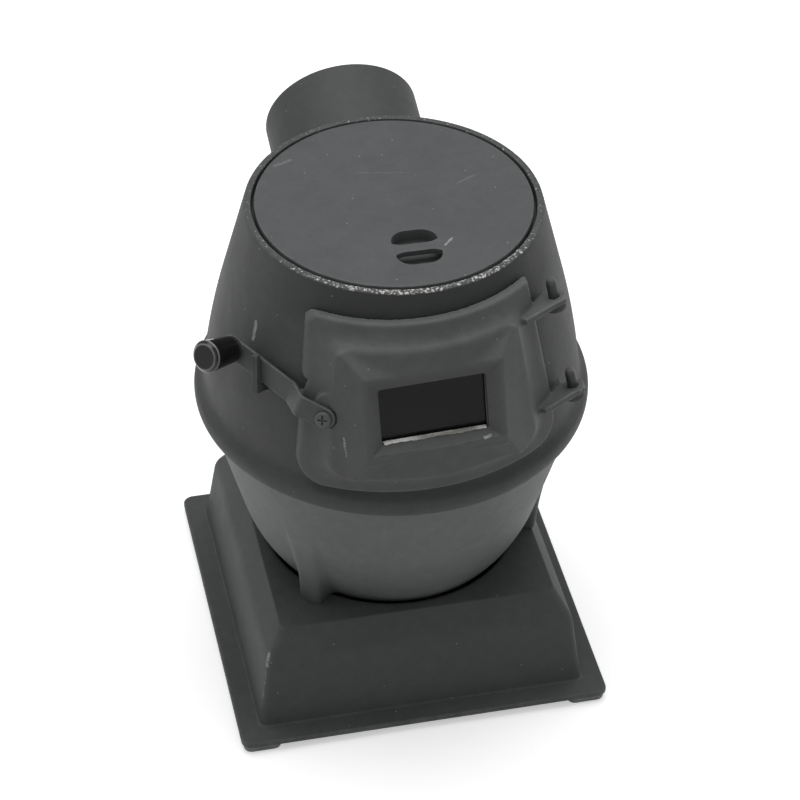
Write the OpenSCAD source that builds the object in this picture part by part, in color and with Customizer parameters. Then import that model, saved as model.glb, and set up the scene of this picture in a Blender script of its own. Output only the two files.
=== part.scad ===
// Potbelly stove in cast iron: a square hollow base, a bowl-shaped fire pot on
// three lugs, a tapering barrel with a glazed fuel door, a lift-off lid, a rear
// flue collar and an ash drawer. Millimetres, +Z up, floor at z 0, the stove's
// axis at x 0 and y 0, fuel door facing -Y. Azimuths run from -Y towards +X.

/* [Base] */
// Width of the square floor flange
flange_w = 300; // [280:1:340]
// Thickness of the floor flange
flange_t = 5; // [4:0.5:8]
// Corner radius of the floor flange
flange_corner_r = 8; // [2:0.5:20]
// Height of the four feet
foot_h = 6; // [3:0.5:15]
// Side of each square foot
foot_w = 30; // [20:1:40]
// Distance from the flange edge to a foot
foot_inset = 2; // [1:0.5:10]
// Height of the base from the flange's top to the top plate's top
base_rise = 85; // [80:1:120]
// Width across the base walls at the flange
base_wall_w = 265; // [260:1:275]
// Width of the flat top plate
base_top_w = 222; // [216:1:236]
// Lean of the base walls from the vertical, degrees
wall_lean = 7.25; // [4:0.25:9]
// Height of the bevel between walls and top plate
bevel_h = 24; // [16:1:30]
// Radius of the shoulder between wall and bevel
shoulder_r = 30; // [10:1:40]
// Depth taken off the four upright corners
corner_cut = 3.3; // [1:0.1:6]
// Thickness of the base walls and top plate
base_wall = 5; // [4:0.5:7]
// Radial gap between the top plate's hole and the fire pot
pot_hole_gap = 6; // [3:0.5:9]

/* [Fire pot] */
// Radius of the pot's rim
pot_rim_r = 148.9; // [142:0.1:156]
// Height of the pot's rim above the base
pot_rise = 146; // [135:1:160]
// Slope of the pot's cone from the vertical, degrees
pot_cone_angle = 15.4; // [13:0.1:17]
// Height of the cone under the rim
pot_cone_h = 101; // [90:1:110]
// Radius of the bowl below the cone, seen from the side
bowl_r = 140; // [125:1:160]
// Depth of the pot below the base's top
pot_drop = 32; // [24:1:32]
// Wall of the pot
pot_wall = 6; // [4:0.5:8]
// Width of the flat ring on the pot's rim
pot_rim_w = 9.4; // [9:0.1:14]
// Height of the thickened rim
pot_rim_h = 9; // [6:0.5:14]
// Width of the rope seal and of its groove
seal_w = 4; // [3:0.5:5]
// Depth of the seal groove
seal_groove_h = 2.5; // [1.5:0.5:4]
// Height of the seal above the pot's rim
seal_stand = 0.8; // [0.4:0.1:2]
// Azimuth of the first of three lugs, degrees
lug_azimuth = -44.5; // [-60:0.5:-30]
// Width of a lug
lug_w = 19; // [12:1:26]
// Distance a lug's foot reaches outside the base hole
lug_reach = 14; // [8:0.5:18]
// Height of a lug from its foot to where it meets the bowl
lug_h = 58; // [40:1:70]

/* [Grate] */
// Thickness of the grate
grate_t = 6; // [4:0.5:10]
// Width of the ledge that carries the grate
grate_ledge_w = 12; // [8:0.5:18]
// Width of a slot in the grate
grate_slot_w = 7; // [5:0.5:9]
// Distance between slots
grate_pitch = 14; // [13:0.5:18]
// Solid border of the grate
grate_border = 9; // [6:0.5:14]

/* [Barrel] */
// Radius of the barrel at its top edge
barrel_top_r = 112.5; // [108:0.5:116]
// Height of the barrel above the pot's rim
barrel_rise = 174; // [168:1:190]
// Height of the straight cone at the barrel's top
barrel_cone_h = 72; // [60:1:80]
// Slope of that cone from the vertical, degrees
barrel_cone_angle = 14.7; // [13.5:0.1:15.5]
// Height of the belly above the pot's rim, where the curved wall ends
belly_z = 20; // [18:1:26]
// Step from the belly in to the pot's rim radius
belly_inset = 2.1; // [1:0.1:3.5]
// Wall of the barrel
barrel_wall = 5.5; // [4:0.5:7]
// How far the belly bead stands out past the pot's rim
bead_out = 6.1; // [4:0.1:9]
// Half height of the belly bead
bead_half_h = 8.5; // [6:0.5:9]
// How far the bead's skirt hangs below the pot's rim
skirt_drop = 7; // [4:0.5:10]
// Gap between the skirt and the pot's rim
skirt_gap = 0.7; // [0.4:0.1:1.5]

/* [Lid] */
// Thickness of the lid
lid_t = 8; // [6:0.5:10]
// Width of the ring on the barrel round the lid
ring_w = 5; // [4:0.5:7]
// Radial gap between lid and ring
lid_gap = 2.4; // [1:0.1:4]
// Height of the lid's face above the ring
lid_proud = 0.4; // [0:0.1:2]
// Width of the ledge that carries the lid
lid_ledge_w = 8.5; // [6:0.5:12]
// Width of the lift pocket along X
pocket_w = 34.6; // [28:0.2:44]
// Length of the lift pocket along Y
pocket_l = 40.8; // [36:0.2:50]
// Corner radius of the lift pocket
pocket_corner_r = 12; // [4:0.5:13]
// Lift pocket's centre to the right of the lid's centre
pocket_x = 4.3; // [-10:0.1:10]
// Lift pocket's centre in front of the lid's centre
pocket_y = 59.1; // [50:0.1:65]
// Depth of the lift pocket
pocket_depth = 12; // [10:0.5:16]
// Width of the lifting bar across the pocket
lift_bar_w = 9; // [6:0.5:12]
// Thickness of the lifting bar
lift_bar_t = 5; // [4:0.5:6]
// Wall of the cup under the pocket
pocket_wall = 3.5; // [3:0.5:5]

/* [Flue] */
// Outer radius of the flue collar, for a 125 mm pipe
flue_r = 62; // [55:0.5:65]
// Wall of the flue collar
flue_wall = 5; // [4:0.5:7]
// Height above the pot's rim where the flue axis crosses the stove's axis
flue_z = 64; // [60:1:70]
// Length along the flue axis from the stove's axis to the collar's end
flue_reach = 206; // [190:1:240]
// Length along the flue axis to the barrel's flue seat
flue_seat = 136.6; // [136:0.1:139]
// Width of the flange round the collar
flue_flange_w = 8; // [6:0.5:10]
// Thickness of the flange round the collar
flue_flange_t = 4; // [3:0.5:6]
// Thickness of the collar's gasket
flue_gasket_t = 1; // [0.5:0.1:2]
// Distance of a collar bolt outside the collar
flue_bolt_out = 14; // [12:0.5:18]
// Radius of the ear round a collar bolt
flue_ear_r = 9; // [8:0.5:11]
// Shank radius of a collar bolt
flue_bolt_r = 3; // [2.5:0.5:4]
// Length of a collar bolt under its head
flue_bolt_l = 16; // [12:1:20]

/* [Fuel door] */
// Width of the door at its bottom
door_w_bottom = 204; // [196:1:206]
// Width of the door at its top
door_w_top = 164; // [158:1:166]
// Height of the door
door_h = 136; // [128:1:138]
// Height of the door's centre above the pot's rim
door_z = 88; // [87:0.5:90]
// Tilt of the door, right side up, degrees
door_cant = 2; // [0:0.25:2.5]
// Clearance between door and barrel
door_gap = 1; // [0.5:0.1:1.5]
// Distance from the barrel to the door flange's face
door_face = 8; // [7:0.5:9]
// Width of the raised panel at its bottom
panel_w_bottom = 160; // [150:1:166]
// Width of the raised panel at its top
panel_w_top = 137; // [128:1:138]
// Height of the raised panel
panel_h = 102; // [98:1:106]
// Distance from the barrel to the raised panel's face
panel_face = 14; // [12:0.5:15]
// Wall between the raised panel's face and its hollow back
panel_wall = 6; // [5:0.5:7]
// Width of the opening in the barrel behind the door
opening_w = 144; // [130:1:146]
// Height of that opening
opening_h = 104; // [96:1:106]
// Corner radius of that opening
opening_corner_r = 10; // [4:1:20]

/* [Window] */
// Width of the raised frame round the window
frame_w = 104; // [100:0.5:108]
// Height of that frame in its own plane
frame_h = 64; // [60:0.5:66]
// Distance of the frame's front plane before the stove's axis
frame_y = 147; // [145:0.5:149]
// Height of the frame's centre above the pot's rim
frame_z = 91; // [89:0.5:93]
// Lean of the frame from the vertical, degrees
frame_lean = 13.8; // [12:0.2:15]
// Width of the window
window_w = 81; // [70:0.5:84]
// Height of the window in the frame's plane
window_h = 45.8; // [38:0.2:47]
// Window's centre below the frame's centre
window_drop = 3.1; // [0:0.1:4]
// Depth of the bevel from the frame's front to the window
bevel_depth = 6.6; // [4:0.2:8]
// Thickness of the lip round the window
lip_t = 5; // [4:0.5:6]
// Thickness of the glass gasket
gasket_t = 1.5; // [1:0.1:2]
// Thickness of the glass
glass_t = 4; // [3:0.5:5]
// Overlap of the glass behind the lip
glass_lap = 4.5; // [3:0.5:5]
// Width of the solid rim round the glass
glass_rim_w = 8; // [7:0.5:9]
// Thickness of the glass retainer
retainer_t = 2; // [1.5:0.25:3]
// Shank radius of a glass screw
glass_screw_r = 2; // [1.5:0.25:2.25]
// Gap round the glass
glass_gap = 0.6; // [0.3:0.1:1]

/* [Hinge] */
// Azimuth of the door's hinge, degrees
hinge_azimuth = 47.5; // [47:0.25:49]
// Height of the lower ear's top above the pot's rim
hinge_z = 62; // [58:0.5:66]
// Distance from the barrel to the hinge axis at the lower ear
hinge_out = 17; // [16.5:0.1:18]
// Distance between the two ears' tops along the hinge axis
hinge_pitch = 79.6; // [72:0.2:84]
// Radius of a hinge pin
hinge_pin_r = 4; // [3:0.25:4.5]
// Running clearance of a pin in a door ear
hinge_clearance = 0.06; // [0.02:0.01:0.1]
// Thickness of an ear
ear_t = 5; // [4:0.5:7]
// Radius of an ear's tip
ear_r = 9; // [8:0.5:9.5]
// Gap between an ear and the lug under it
ear_gap = 0.5; // [0.3:0.1:1]
// Height of a pin above its ear
pin_above = 15; // [8:0.5:20]

/* [Latch] */
// Azimuth of the latch screw, degrees
latch_azimuth = -31.4; // [-32:0.1:-30.5]
// Height of the latch screw above the pot's rim
latch_z = 83; // [80:0.5:86]
// Distance from the barrel to the latch bar's face at its screw
latch_out = 18.2; // [17.6:0.1:19]
// Turn of the latch bar's face towards the front, degrees
latch_turn = 4.1; // [3:0.1:5]
// Tilt of the latch bar's face up from the vertical, degrees
latch_tilt = 15.6; // [14.8:0.1:16]
// Rise of the latch bar towards its knob, degrees
latch_rise = 17.5; // [15:0.1:19]
// Width of the latch bar
bar_w = 16.7; // [14:0.1:17]
// Thickness of the latch bar
bar_t = 3; // [2:0.25:3.25]
// Length from the screw to the first fold
bar_inner_l = 21.3; // [19:0.1:22]
// Run of the folded step along the bar
bar_step_l = 11.2; // [10:0.1:13]
// Depth of the folded step
bar_step_d = 14.5; // [12:0.1:14.8]
// Length of the bar past the step
bar_outer_l = 67.8; // [66:0.1:72]
// Turn of the outer length round the barrel, degrees
bar_turn = 22.3; // [19:0.1:22.6]
// Length from the step to the knob
knob_at = 57.8; // [54:0.1:60]
// Radius of the knob
knob_r = 12.5; // [10:0.5:14]
// Distance from the bar's face to the knob's end
knob_l = 35; // [28:0.2:42]
// Radius of the collar under the knob
knob_collar_r = 8.5; // [7:0.5:10]
// Length of that collar
knob_collar_l = 4; // [2:0.5:6]
// Chamfer on the knob's end
knob_chamfer = 2; // [1:0.25:4]
// Shank radius of the latch and knob screws
latch_screw_r = 3; // [2.5:0.25:3.5]
// Head radius of the latch screw
screw_head_r = 6.2; // [5.5:0.1:7]
// Head height of the latch screw
screw_head_h = 3.6; // [2.5:0.1:4.5]
// Head height of the knob's screw
knob_screw_head_h = 2.6; // [2:0.1:2.6]
// Thickness of the washer under the latch bar
washer_t = 1.2; // [0.8:0.1:1.6]
// Radius of the boss under the latch
boss_r = 9; // [8.5:0.25:10]
// Height of the boss above the screw
boss_rise = 9; // [0:0.5:12]
// Side gap between the latch bar and what it slides on
latch_gap = 0.25; // [0.15:0.05:0.4]
// Length from the step to the keeper under the bar
keeper_at = 31; // [26:0.5:40]
// Thickness of the keeper
keeper_w = 5; // [4:0.5:8]
// Height of the keeper under the bar
keeper_h = 6; // [4:0.5:10]

/* [Ash drawer] */
// Width of the drawer's opening
drawer_w = 154; // [120:1:170]
// Height of the drawer's opening
drawer_h = 49; // [40:1:50]
// Gap round the drawer's front
drawer_gap = 1; // [0.5:0.1:1.5]
// Length of the pan behind the stove's axis
pan_back = 78; // [60:1:100]
// Wall of the sheet pan
pan_wall = 1.5; // [1:0.25:3]
// Height of the pan's rim below the front's top
pan_dip = 3; // [2:0.5:10]
// Width of the drawer's pull cup
pull_w = 44; // [36:1:60]
// Height of the pull cup
pull_h = 24; // [20:1:26]
// Depth of the pull cup
pull_depth = 13; // [11:0.5:18]
// Width of the bar across the pull cup
pull_bar_w = 8; // [6:0.5:10]
// Thickness of the bar across the pull cup
pull_bar_t = 4; // [3:0.5:5]
// Radius of a drawer rivet
rivet_r = 2.5; // [1.5:0.25:3]
// Height of the two runners beside the pan
runner_h = 8; // [4:0.5:14]

/* [Hidden] */

$fn = 96;
iron = [0.27, 0.28, 0.28];
iron_dark = [0.21, 0.22, 0.22];
steel = [0.36, 0.37, 0.37];
black = [0.08, 0.08, 0.08];
rope = [0.62, 0.60, 0.56];
clear_glass = [0.10, 0.11, 0.11, 0.6];

seat_gap = 0.3;      // between a loose piece and what it rests on
fixed_gap = 0.03;    // round a pin or screw that is held fast
eps = 0.01;          // overlap that makes a cut clean
cut = 400;           // longer than the whole stove

// Heights above the floor
flange_top = foot_h + flange_t;
base_top = flange_top + base_rise;
pot_top = base_top + pot_rise;
pot_bottom = base_top - pot_drop;
barrel_seat = pot_top + seal_stand;
barrel_top = pot_top + barrel_rise;
cone_end = barrel_top - barrel_cone_h;
belly_top = pot_top + belly_z;
grate_seat = pot_bottom + pot_wall;
lid_top = barrel_top + lid_proud;
lid_bottom = lid_top - lid_t;
ledge_top = lid_bottom - seat_gap;

// ---- Outline helpers ----

function unit(v) = v / norm(v);
function left_of(a, b) = let (d = unit(b - a)) [-d[1], d[0]];

// A path moved sideways by d, to the left of its direction, with mitred corners
function offset_path(p, d) = [for (i = [0 : len(p) - 1]) let (
    before = left_of(p[max(i - 1, 0)], p[max(i, 1)]),
    after = left_of(p[min(i, len(p) - 2)], p[min(i + 1, len(p) - 1)]),
    mitre = unit(before + after)) p[i] + mitre * d / (mitre * before)];

// x of the line through a and b at height z
function line_x(a, b, z) = a[0] + (b[0] - a[0]) * (z - a[1]) / (b[1] - a[1]);

// Arc round centre c from angle a0 to a1 in n steps, with its own radius along x and y
function arc(c, rx, ry, a0, a1, n) =
    [for (i = [0 : n]) let (a = a0 + (a1 - a0) * i / n) c + [rx * cos(a), ry * sin(a)]];

// Closed outline with corner i rounded to radii[i]
function rounded(p, radii, n = 6) = [for (i = [0 : len(p) - 1]) let (
    here = p[i],
    u = unit(p[(i + len(p) - 1) % len(p)] - here),
    v = unit(p[(i + 1) % len(p)] - here),
    half = acos(u * v) / 2,
    c = here + unit(u + v) * radii[i] / sin(half),
    from = here + u * radii[i] / tan(half) - c,
    to = here + v * radii[i] / tan(half) - c,
    a0 = atan2(from[1], from[0]),
    turn = atan2(from[0] * to[1] - from[1] * to[0], from * to))
    each (radii[i] == 0 ? [here] : arc(c, radii[i], radii[i], a0, a0 + turn, n))];

function backwards(p) = [for (i = [len(p) - 1 : -1 : 0]) p[i]];
function moved_out(p, d) = [for (q = p) q + [d, 0]];

// Outline drawn in X and Z, extruded along Y from y0 to y1
module front_prism(outline, y0, y1)
    translate([0, y1, 0]) rotate([90, 0, 0]) linear_extrude(y1 - y0) polygon(outline);

// Outline drawn in radius and Z, as a plate of width w in the plane of azimuth 0
module radial_plate(outline, w)
    rotate([90, 0, -90]) linear_extrude(w, center = true) polygon(outline);

// The solid common to an outline extruded along Y and the same one along X
module two_way(outline) intersection() {
    rotate([90, 0, 0]) linear_extrude(cut, center = true) polygon(outline);
    rotate([90, 0, 90]) linear_extrude(cut, center = true) polygon(outline);
}

// Box between two corners
module span(a, b) translate(a) cube(b - a);

// ---- Profiles that several pieces share ----

// Right-hand side of the base, from the flange up to the top plate
shoulder_z = base_top - bevel_h;
base_side = [
    [base_wall_w / 2, flange_top],
    [base_wall_w / 2 - (shoulder_z - flange_top) * tan(wall_lean), shoulder_z],
    [base_top_w / 2, base_top]
];
base_inside = offset_path(base_side, base_wall);
function wall_x(z, inset = 0) =
    base_wall_w / 2 - inset / cos(wall_lean) - (z - flange_top) * tan(wall_lean);
function mirrored(p) = concat([for (q = p) q], [for (q = backwards(p)) [-q[0], q[1]]]);

// Outside of the fire pot, from its rim down to its bottom
cone_foot = [pot_rim_r - pot_cone_h * tan(pot_cone_angle), pot_top - pot_cone_h];
bowl_centre = cone_foot + bowl_r * [-cos(pot_cone_angle), sin(pot_cone_angle)];
function bowl_angle(z, r) = -asin((bowl_centre[1] - z) / r);
function pot_r(z, inset = 0) = z > cone_foot[1]
    ? pot_rim_r - inset / cos(pot_cone_angle) - (pot_top - z) * tan(pot_cone_angle)
    : bowl_centre[0] + (bowl_r - inset) * cos(bowl_angle(z, bowl_r - inset));
function bowl(z, inset) = arc(bowl_centre, bowl_r - inset, bowl_r - inset,
    -pot_cone_angle, bowl_angle(z, bowl_r - inset), 8);
pot_hole_r = pot_r(base_top) + pot_hole_gap;

// Outside of the barrel from its top edge down to the belly: a cone, then an arc
// tangent to it that ends at the belly
belly_r = pot_rim_r - belly_inset;
cone_end_r = barrel_top_r + barrel_cone_h * tan(barrel_cone_angle);
belly_angle = 2 * atan((belly_r - cone_end_r) / (cone_end - belly_top)) - barrel_cone_angle;
belly_arc_r = (cone_end - belly_top) / (sin(barrel_cone_angle) - sin(belly_angle));
belly_centre = [belly_r - belly_arc_r * cos(belly_angle), belly_top - belly_arc_r * sin(belly_angle)];
function barrel_r(z) = z > cone_end
    ? barrel_top_r + (barrel_top - z) * tan(barrel_cone_angle)
    : belly_centre[0] + belly_arc_r * cos(asin((z - belly_centre[1]) / belly_arc_r));
barrel_side = concat([[barrel_top_r, barrel_top]],
    arc(belly_centre, belly_arc_r, belly_arc_r, barrel_cone_angle, belly_angle, 8));

// ---- Base ----

module flange_outline_plate() {
    half = flange_w / 2;
    linear_extrude(flange_t) polygon(rounded(
        [[-half, -half], [half, -half], [half, half], [-half, half]],
        [for (i = [1 : 4]) flange_corner_r]));
}

module foot() {
    linear_extrude(foot_h + eps) polygon(rounded(
        [[0, 0], [foot_w, 0], [foot_w, foot_w], [0, foot_w]],
        [for (i = [1 : 4]) foot_w / 5]));
}

// Two ribs on the floor that guide the ash pan, and a third that stops it
module pan_runners() {
    rib = 4;
    side = drawer_w / 2;
    for (s = [-1, 1])
        span([-pan_back, s > 0 ? side : -side - rib, flange_top - eps],
            [wall_x(flange_top, base_wall) + eps, s > 0 ? side + rib : -side, flange_top + runner_h]);
    span([-pan_back - seat_gap - rib, -side / 2, flange_top - eps],
        [-pan_back - seat_gap, side / 2, flange_top + runner_h]);
}

module base() color(iron_dark) {
    top_under = base_top - base_wall;
    shell = rounded(mirrored(base_side), [0, shoulder_r, 4, 4, shoulder_r, 0]);
    cavity = rounded(mirrored([
        [wall_x(flange_top, base_wall), flange_top],
        base_inside[1],
        [line_x(base_inside[1], base_inside[2], top_under), top_under]
    ]), [0, shoulder_r - base_wall, 0, 0, shoulder_r - base_wall, 0]);
    translate([0, 0, foot_h]) flange_outline_plate();
    for (x = [-1, 1], y = [-1, 1])
        translate([x * (flange_w / 2 - foot_inset - foot_w / 2) - foot_w / 2,
            y * (flange_w / 2 - foot_inset - foot_w / 2) - foot_w / 2, 0]) foot();
    difference() {
        intersection() {
            two_way(shell);
            rotate_extrude() polygon(concat([[0, base_top], [0, flange_top]],
                [for (q = base_side) [q[0] * sqrt(2) - corner_cut, q[1]]]));
        }
        two_way(cavity);
        translate([0, 0, top_under - eps]) cylinder(h = base_wall + 1, r = pot_hole_r);
        span([wall_x(base_top, base_wall) - 20, -drawer_w / 2, flange_top],
            [flange_w, drawer_w / 2, flange_top + drawer_h]);
    }
    pan_runners();
}

// ---- Fire pot ----

module pot_lug() {
    foot_r = pot_hole_r + lug_reach;
    top_z = base_top + lug_h;
    inside = pot_wall / 2;
    radial_plate(concat([[foot_r, base_top], [pot_r(top_z), top_z]],
        [for (i = [0 : 5]) let (z = top_z - lug_h * i / 5) [pot_r(z, inside), z]]), lug_w);
}

module fire_pot() color(iron) {
    rim_in = pot_rim_r - pot_rim_w;
    rim_foot = pot_top - pot_rim_h;
    throat_r = pot_r(grate_seat, pot_wall) - grate_ledge_w;
    groove_out = pot_rim_r - (pot_rim_w - seal_w) / 2;
    rotate_extrude() polygon(concat(
        [[pot_rim_r, pot_top]],
        bowl(pot_bottom, 0),
        [[throat_r, pot_bottom], [throat_r, grate_seat]],
        backwards(bowl(grate_seat, pot_wall)),
        [[pot_r(rim_foot - 4, pot_wall), rim_foot - 4], [rim_in, rim_foot], [rim_in, pot_top],
        [groove_out - seal_w, pot_top], [groove_out - seal_w, pot_top - seal_groove_h],
        [groove_out, pot_top - seal_groove_h], [groove_out, pot_top]]));
    for (i = [0 : 2]) rotate([0, 0, lug_azimuth + 120 * i]) pot_lug();
}

module grate() color(iron_dark) {
    grate_r = pot_r(grate_seat, pot_wall) - 1;
    translate([0, 0, grate_seat + seat_gap]) difference() {
        cylinder(h = grate_t, r = grate_r);
        for (i = [-3 : 3]) intersection() {
            translate([-cut / 2, i * grate_pitch - grate_slot_w / 2, -1])
                cube([cut, grate_slot_w, grate_t + 2]);
            translate([0, 0, -2]) cylinder(h = grate_t + 4, r = grate_r - grate_border);
        }
    }
}

module pot_seal() color(rope) {
    groove_out = pot_rim_r - (pot_rim_w - seal_w) / 2;
    rotate_extrude() translate([groove_out - seal_w, pot_top - seal_groove_h])
        square([seal_w, seal_groove_h + seal_stand]);
}

// ---- Barrel ----

// Frame whose Z runs along the hinge axis, with its origin at the lower ear's top,
// Y towards the stove and -X towards the door
module on_hinge() {
    z = pot_top + hinge_z;
    rotate([0, 0, hinge_azimuth]) translate([0, -barrel_r(z) - hinge_out, z])
        rotate([-barrel_cone_angle, 0, 0]) children();
}

// Frame on the latch bar's outer face at its screw: -X runs along the bar, -Y out
module on_latch() {
    z = pot_top + latch_z;
    rotate([0, 0, latch_azimuth]) translate([0, -barrel_r(z) - latch_out, z])
        rotate([0, 0, latch_turn]) rotate([-latch_tilt, 0, 0]) rotate([0, latch_rise, 0]) children();
}

// Frame on the outer length of the latch bar, where its step ends
module on_bar_end() translate([-bar_inner_l - bar_step_l, bar_step_d, 0]) rotate([0, 0, -bar_turn]) children();

// Frame whose Z runs out along the flue
module on_flue() translate([0, 0, pot_top + flue_z]) rotate([barrel_cone_angle - 90, 0, 0]) children();

module flue_bolt_places() for (s = [-1, 1]) translate([s * (flue_r + flue_bolt_out), 0, 0]) children();

// Outline of the collar's flange: a ring with an ear at each bolt
module flue_flange(h) {
    cylinder(h = h, r = flue_r + flue_flange_w);
    flue_bolt_places() cylinder(h = h, r = flue_ear_r);
}

module barrel_lug() {
    z0 = -ear_t - ear_gap - ear_t - ear_gap;
    reach = hinge_out + barrel_wall / 2;
    difference() {
        translate([0, 0, z0]) union() {
            cylinder(h = ear_t + ear_gap, r = ear_r - 1);
            translate([1 - ear_r + 1, 0, 0]) cube([2 * (ear_r - 2), reach, ear_t + ear_gap]);
        }
        translate([0, 0, z0 - 1]) cylinder(h = ear_t + ear_gap + 2, r = hinge_pin_r + fixed_gap);
    }
}

// Block under the bar, from just in front of it back into the barrel's wall
module keeper() on_latch() on_bar_end() translate([-keeper_at - keeper_w / 2, -2, 0])
    span([0, 0, -bar_w / 2 - seat_gap - keeper_h], [keeper_w, 24, -bar_w / 2 - seat_gap]);

module opening_prism() {
    half = opening_w / 2;
    front_prism(rounded([[-half, -opening_h / 2], [half, -opening_h / 2], [half, opening_h / 2],
        [-half, opening_h / 2]], [for (i = [1 : 4]) opening_corner_r]), -cut, 0);
}

module barrel() color(iron) {
    skirt_r = pot_rim_r + skirt_gap;
    skirt_bottom = pot_top - skirt_drop;
    bead_r = pot_rim_r + bead_out - 4;
    bead_z = skirt_bottom + bead_half_h;
    inside = offset_path(barrel_side, -barrel_wall);
    lip_r = barrel_top_r - ring_w - lid_ledge_w;
    lip_z = ledge_top - 6;
    solid_side = concat(
        [[0, barrel_top]], barrel_side,
        [[belly_r + 0.8, belly_top - 4], [belly_r + 3, belly_top - 8.5]],
        backwards(arc([bead_r, bead_z], 4, bead_half_h, -90, 50, 8)),
        [[skirt_r, skirt_bottom], [skirt_r, barrel_seat], [0, barrel_seat]]);
    room = concat(
        [[0, lip_z], [lip_r, lip_z], [line_x(inside[0], inside[1], lip_z - 12), lip_z - 12]],
        [for (i = [1 : len(inside) - 1]) inside[i]],
        [[belly_r - barrel_wall, barrel_seat - 1], [0, barrel_seat - 1]]);
    difference() {
        union() {
            rotate_extrude() polygon(solid_side);
            for (i = [0, 1]) on_hinge() translate([0, 0, i * hinge_pitch]) barrel_lug();
            keeper();
            on_flue() translate([0, 0, flue_seat / 2]) flue_flange(flue_seat / 2);
        }
        rotate_extrude() polygon(room);
        translate([0, 0, lip_z - 1]) cylinder(h = lid_t + 20, r = lip_r);
        translate([0, 0, ledge_top]) cylinder(h = lid_t + 20, r = barrel_top_r - ring_w);
        translate([0, 0, pot_top + door_z]) opening_prism();
        on_flue() cylinder(h = cut, r = flue_r - flue_wall);
        on_flue() translate([0, 0, flue_seat]) flue_flange(cut);
        on_flue() flue_bolt_places() translate([0, 0, flue_seat + flue_gasket_t + flue_flange_t - flue_bolt_l])
            cylinder(h = cut, r = flue_bolt_r + fixed_gap);
    }
}

// ---- Flue ----

module flue_collar() color(iron) on_flue() {
    z0 = flue_seat + flue_gasket_t;
    difference() {
        union() {
            translate([0, 0, z0]) flue_flange(flue_flange_t);
            translate([0, 0, z0]) cylinder(h = flue_reach - z0, r = flue_r);
        }
        translate([0, 0, z0 - 1]) cylinder(h = cut, r = flue_r - flue_wall);
        flue_bolt_places() translate([0, 0, z0 - 1]) cylinder(h = flue_flange_t + 2, r = flue_bolt_r + 0.3);
    }
}

module collar_gasket() color(rope) on_flue() translate([0, 0, flue_seat]) difference() {
    flue_flange(flue_gasket_t);
    translate([0, 0, -1]) cylinder(h = flue_gasket_t + 2, r = flue_r - flue_wall);
    flue_bolt_places() translate([0, 0, -1]) cylinder(h = flue_gasket_t + 2, r = flue_bolt_r + 0.3);
}

module flue_bolts() color(steel) on_flue() flue_bolt_places() {
    under_head = flue_seat + flue_gasket_t + flue_flange_t;
    translate([0, 0, under_head - flue_bolt_l + 1]) cylinder(h = flue_bolt_l, r = flue_bolt_r);
    translate([0, 0, under_head]) cylinder(h = 4, r = flue_bolt_r * 1.9, $fn = 6);
}

// ---- Lid ----

function pocket_outline(grow) = let (w = pocket_w / 2 + grow, l = pocket_l / 2 + grow)
    rounded([[-w, -l], [w, -l], [w, l], [-w, l]], [for (i = [1 : 4]) pocket_corner_r + grow]);

module lid() color(iron) {
    lid_r = barrel_top_r - ring_w - lid_gap;
    difference() {
        union() {
            translate([0, 0, lid_bottom]) cylinder(h = lid_t, r = lid_r);
            translate([pocket_x, -pocket_y, lid_top - pocket_depth - pocket_wall])
                linear_extrude(pocket_depth) polygon(pocket_outline(pocket_wall));
        }
        difference() {
            translate([pocket_x, -pocket_y, lid_top - pocket_depth])
                linear_extrude(pocket_depth + 1) polygon(pocket_outline(0));
            translate([pocket_x, -pocket_y, lid_top - lift_bar_t / 2])
                cube([pocket_w + 2, lift_bar_w, lift_bar_t], center = true);
        }
    }
}

// ---- Fuel door ----

// Ring between two distances off the barrel's side
module barrel_band(from, to) rotate_extrude() polygon(concat(
    moved_out(barrel_side, to), [[belly_r + to, barrel_seat]],
    [[belly_r + from, barrel_seat]], backwards(moved_out(barrel_side, from))));

// Trapezoid outline round the door's centre
function door_outline(w_bottom, w_top, h, radii) = rounded([[-w_bottom / 2, -h / 2], [w_bottom / 2, -h / 2],
    [w_top / 2, h / 2], [-w_top / 2, h / 2]], radii);

module on_door() translate([0, 0, pot_top + door_z]) rotate([0, -door_cant, 0]) children();

module door_slab(outline, from, to) intersection() {
    barrel_band(from, to);
    on_door() front_prism(outline, -cut / 2, 0);
}

// Frame on the window frame's front plane: X right, Z up in the plane, Y inwards
module on_window() translate([0, -frame_y, pot_top + frame_z]) rotate([-frame_lean, 0, 0])
    rotate([0, -door_cant, 0]) children();

// Box centred in X and on height z, from depth y0 to y1
module window_box(w, h, y0, y1, z = 0) translate([-w / 2, y0, z - h / 2]) cube([w, y1 - y0, h]);

// Raised frame: its front is flat, and its sides fall away to the curved panel
module window_frame() {
    side_run = 23;
    side_fall = 18.5;
    end_run = 16.5;
    end_fall = 9.7;
    back = 20;
    intersection() {
        translate([0, 0, -cut / 2]) linear_extrude(cut) polygon([[-frame_w / 2, 0], [frame_w / 2, 0],
            [frame_w / 2 + side_run, side_fall], [frame_w / 2 + side_run, back],
            [-frame_w / 2 - side_run, back], [-frame_w / 2 - side_run, side_fall]]);
        rotate([90, 0, 90]) linear_extrude(cut, center = true) polygon([[0, -frame_h / 2],
            [end_fall, -frame_h / 2 - end_run * 1.3], [back, -frame_h / 2 - end_run * 1.3],
            [back, frame_h / 2 + end_run], [end_fall, frame_h / 2 + end_run], [0, frame_h / 2]]);
    }
}

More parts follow.
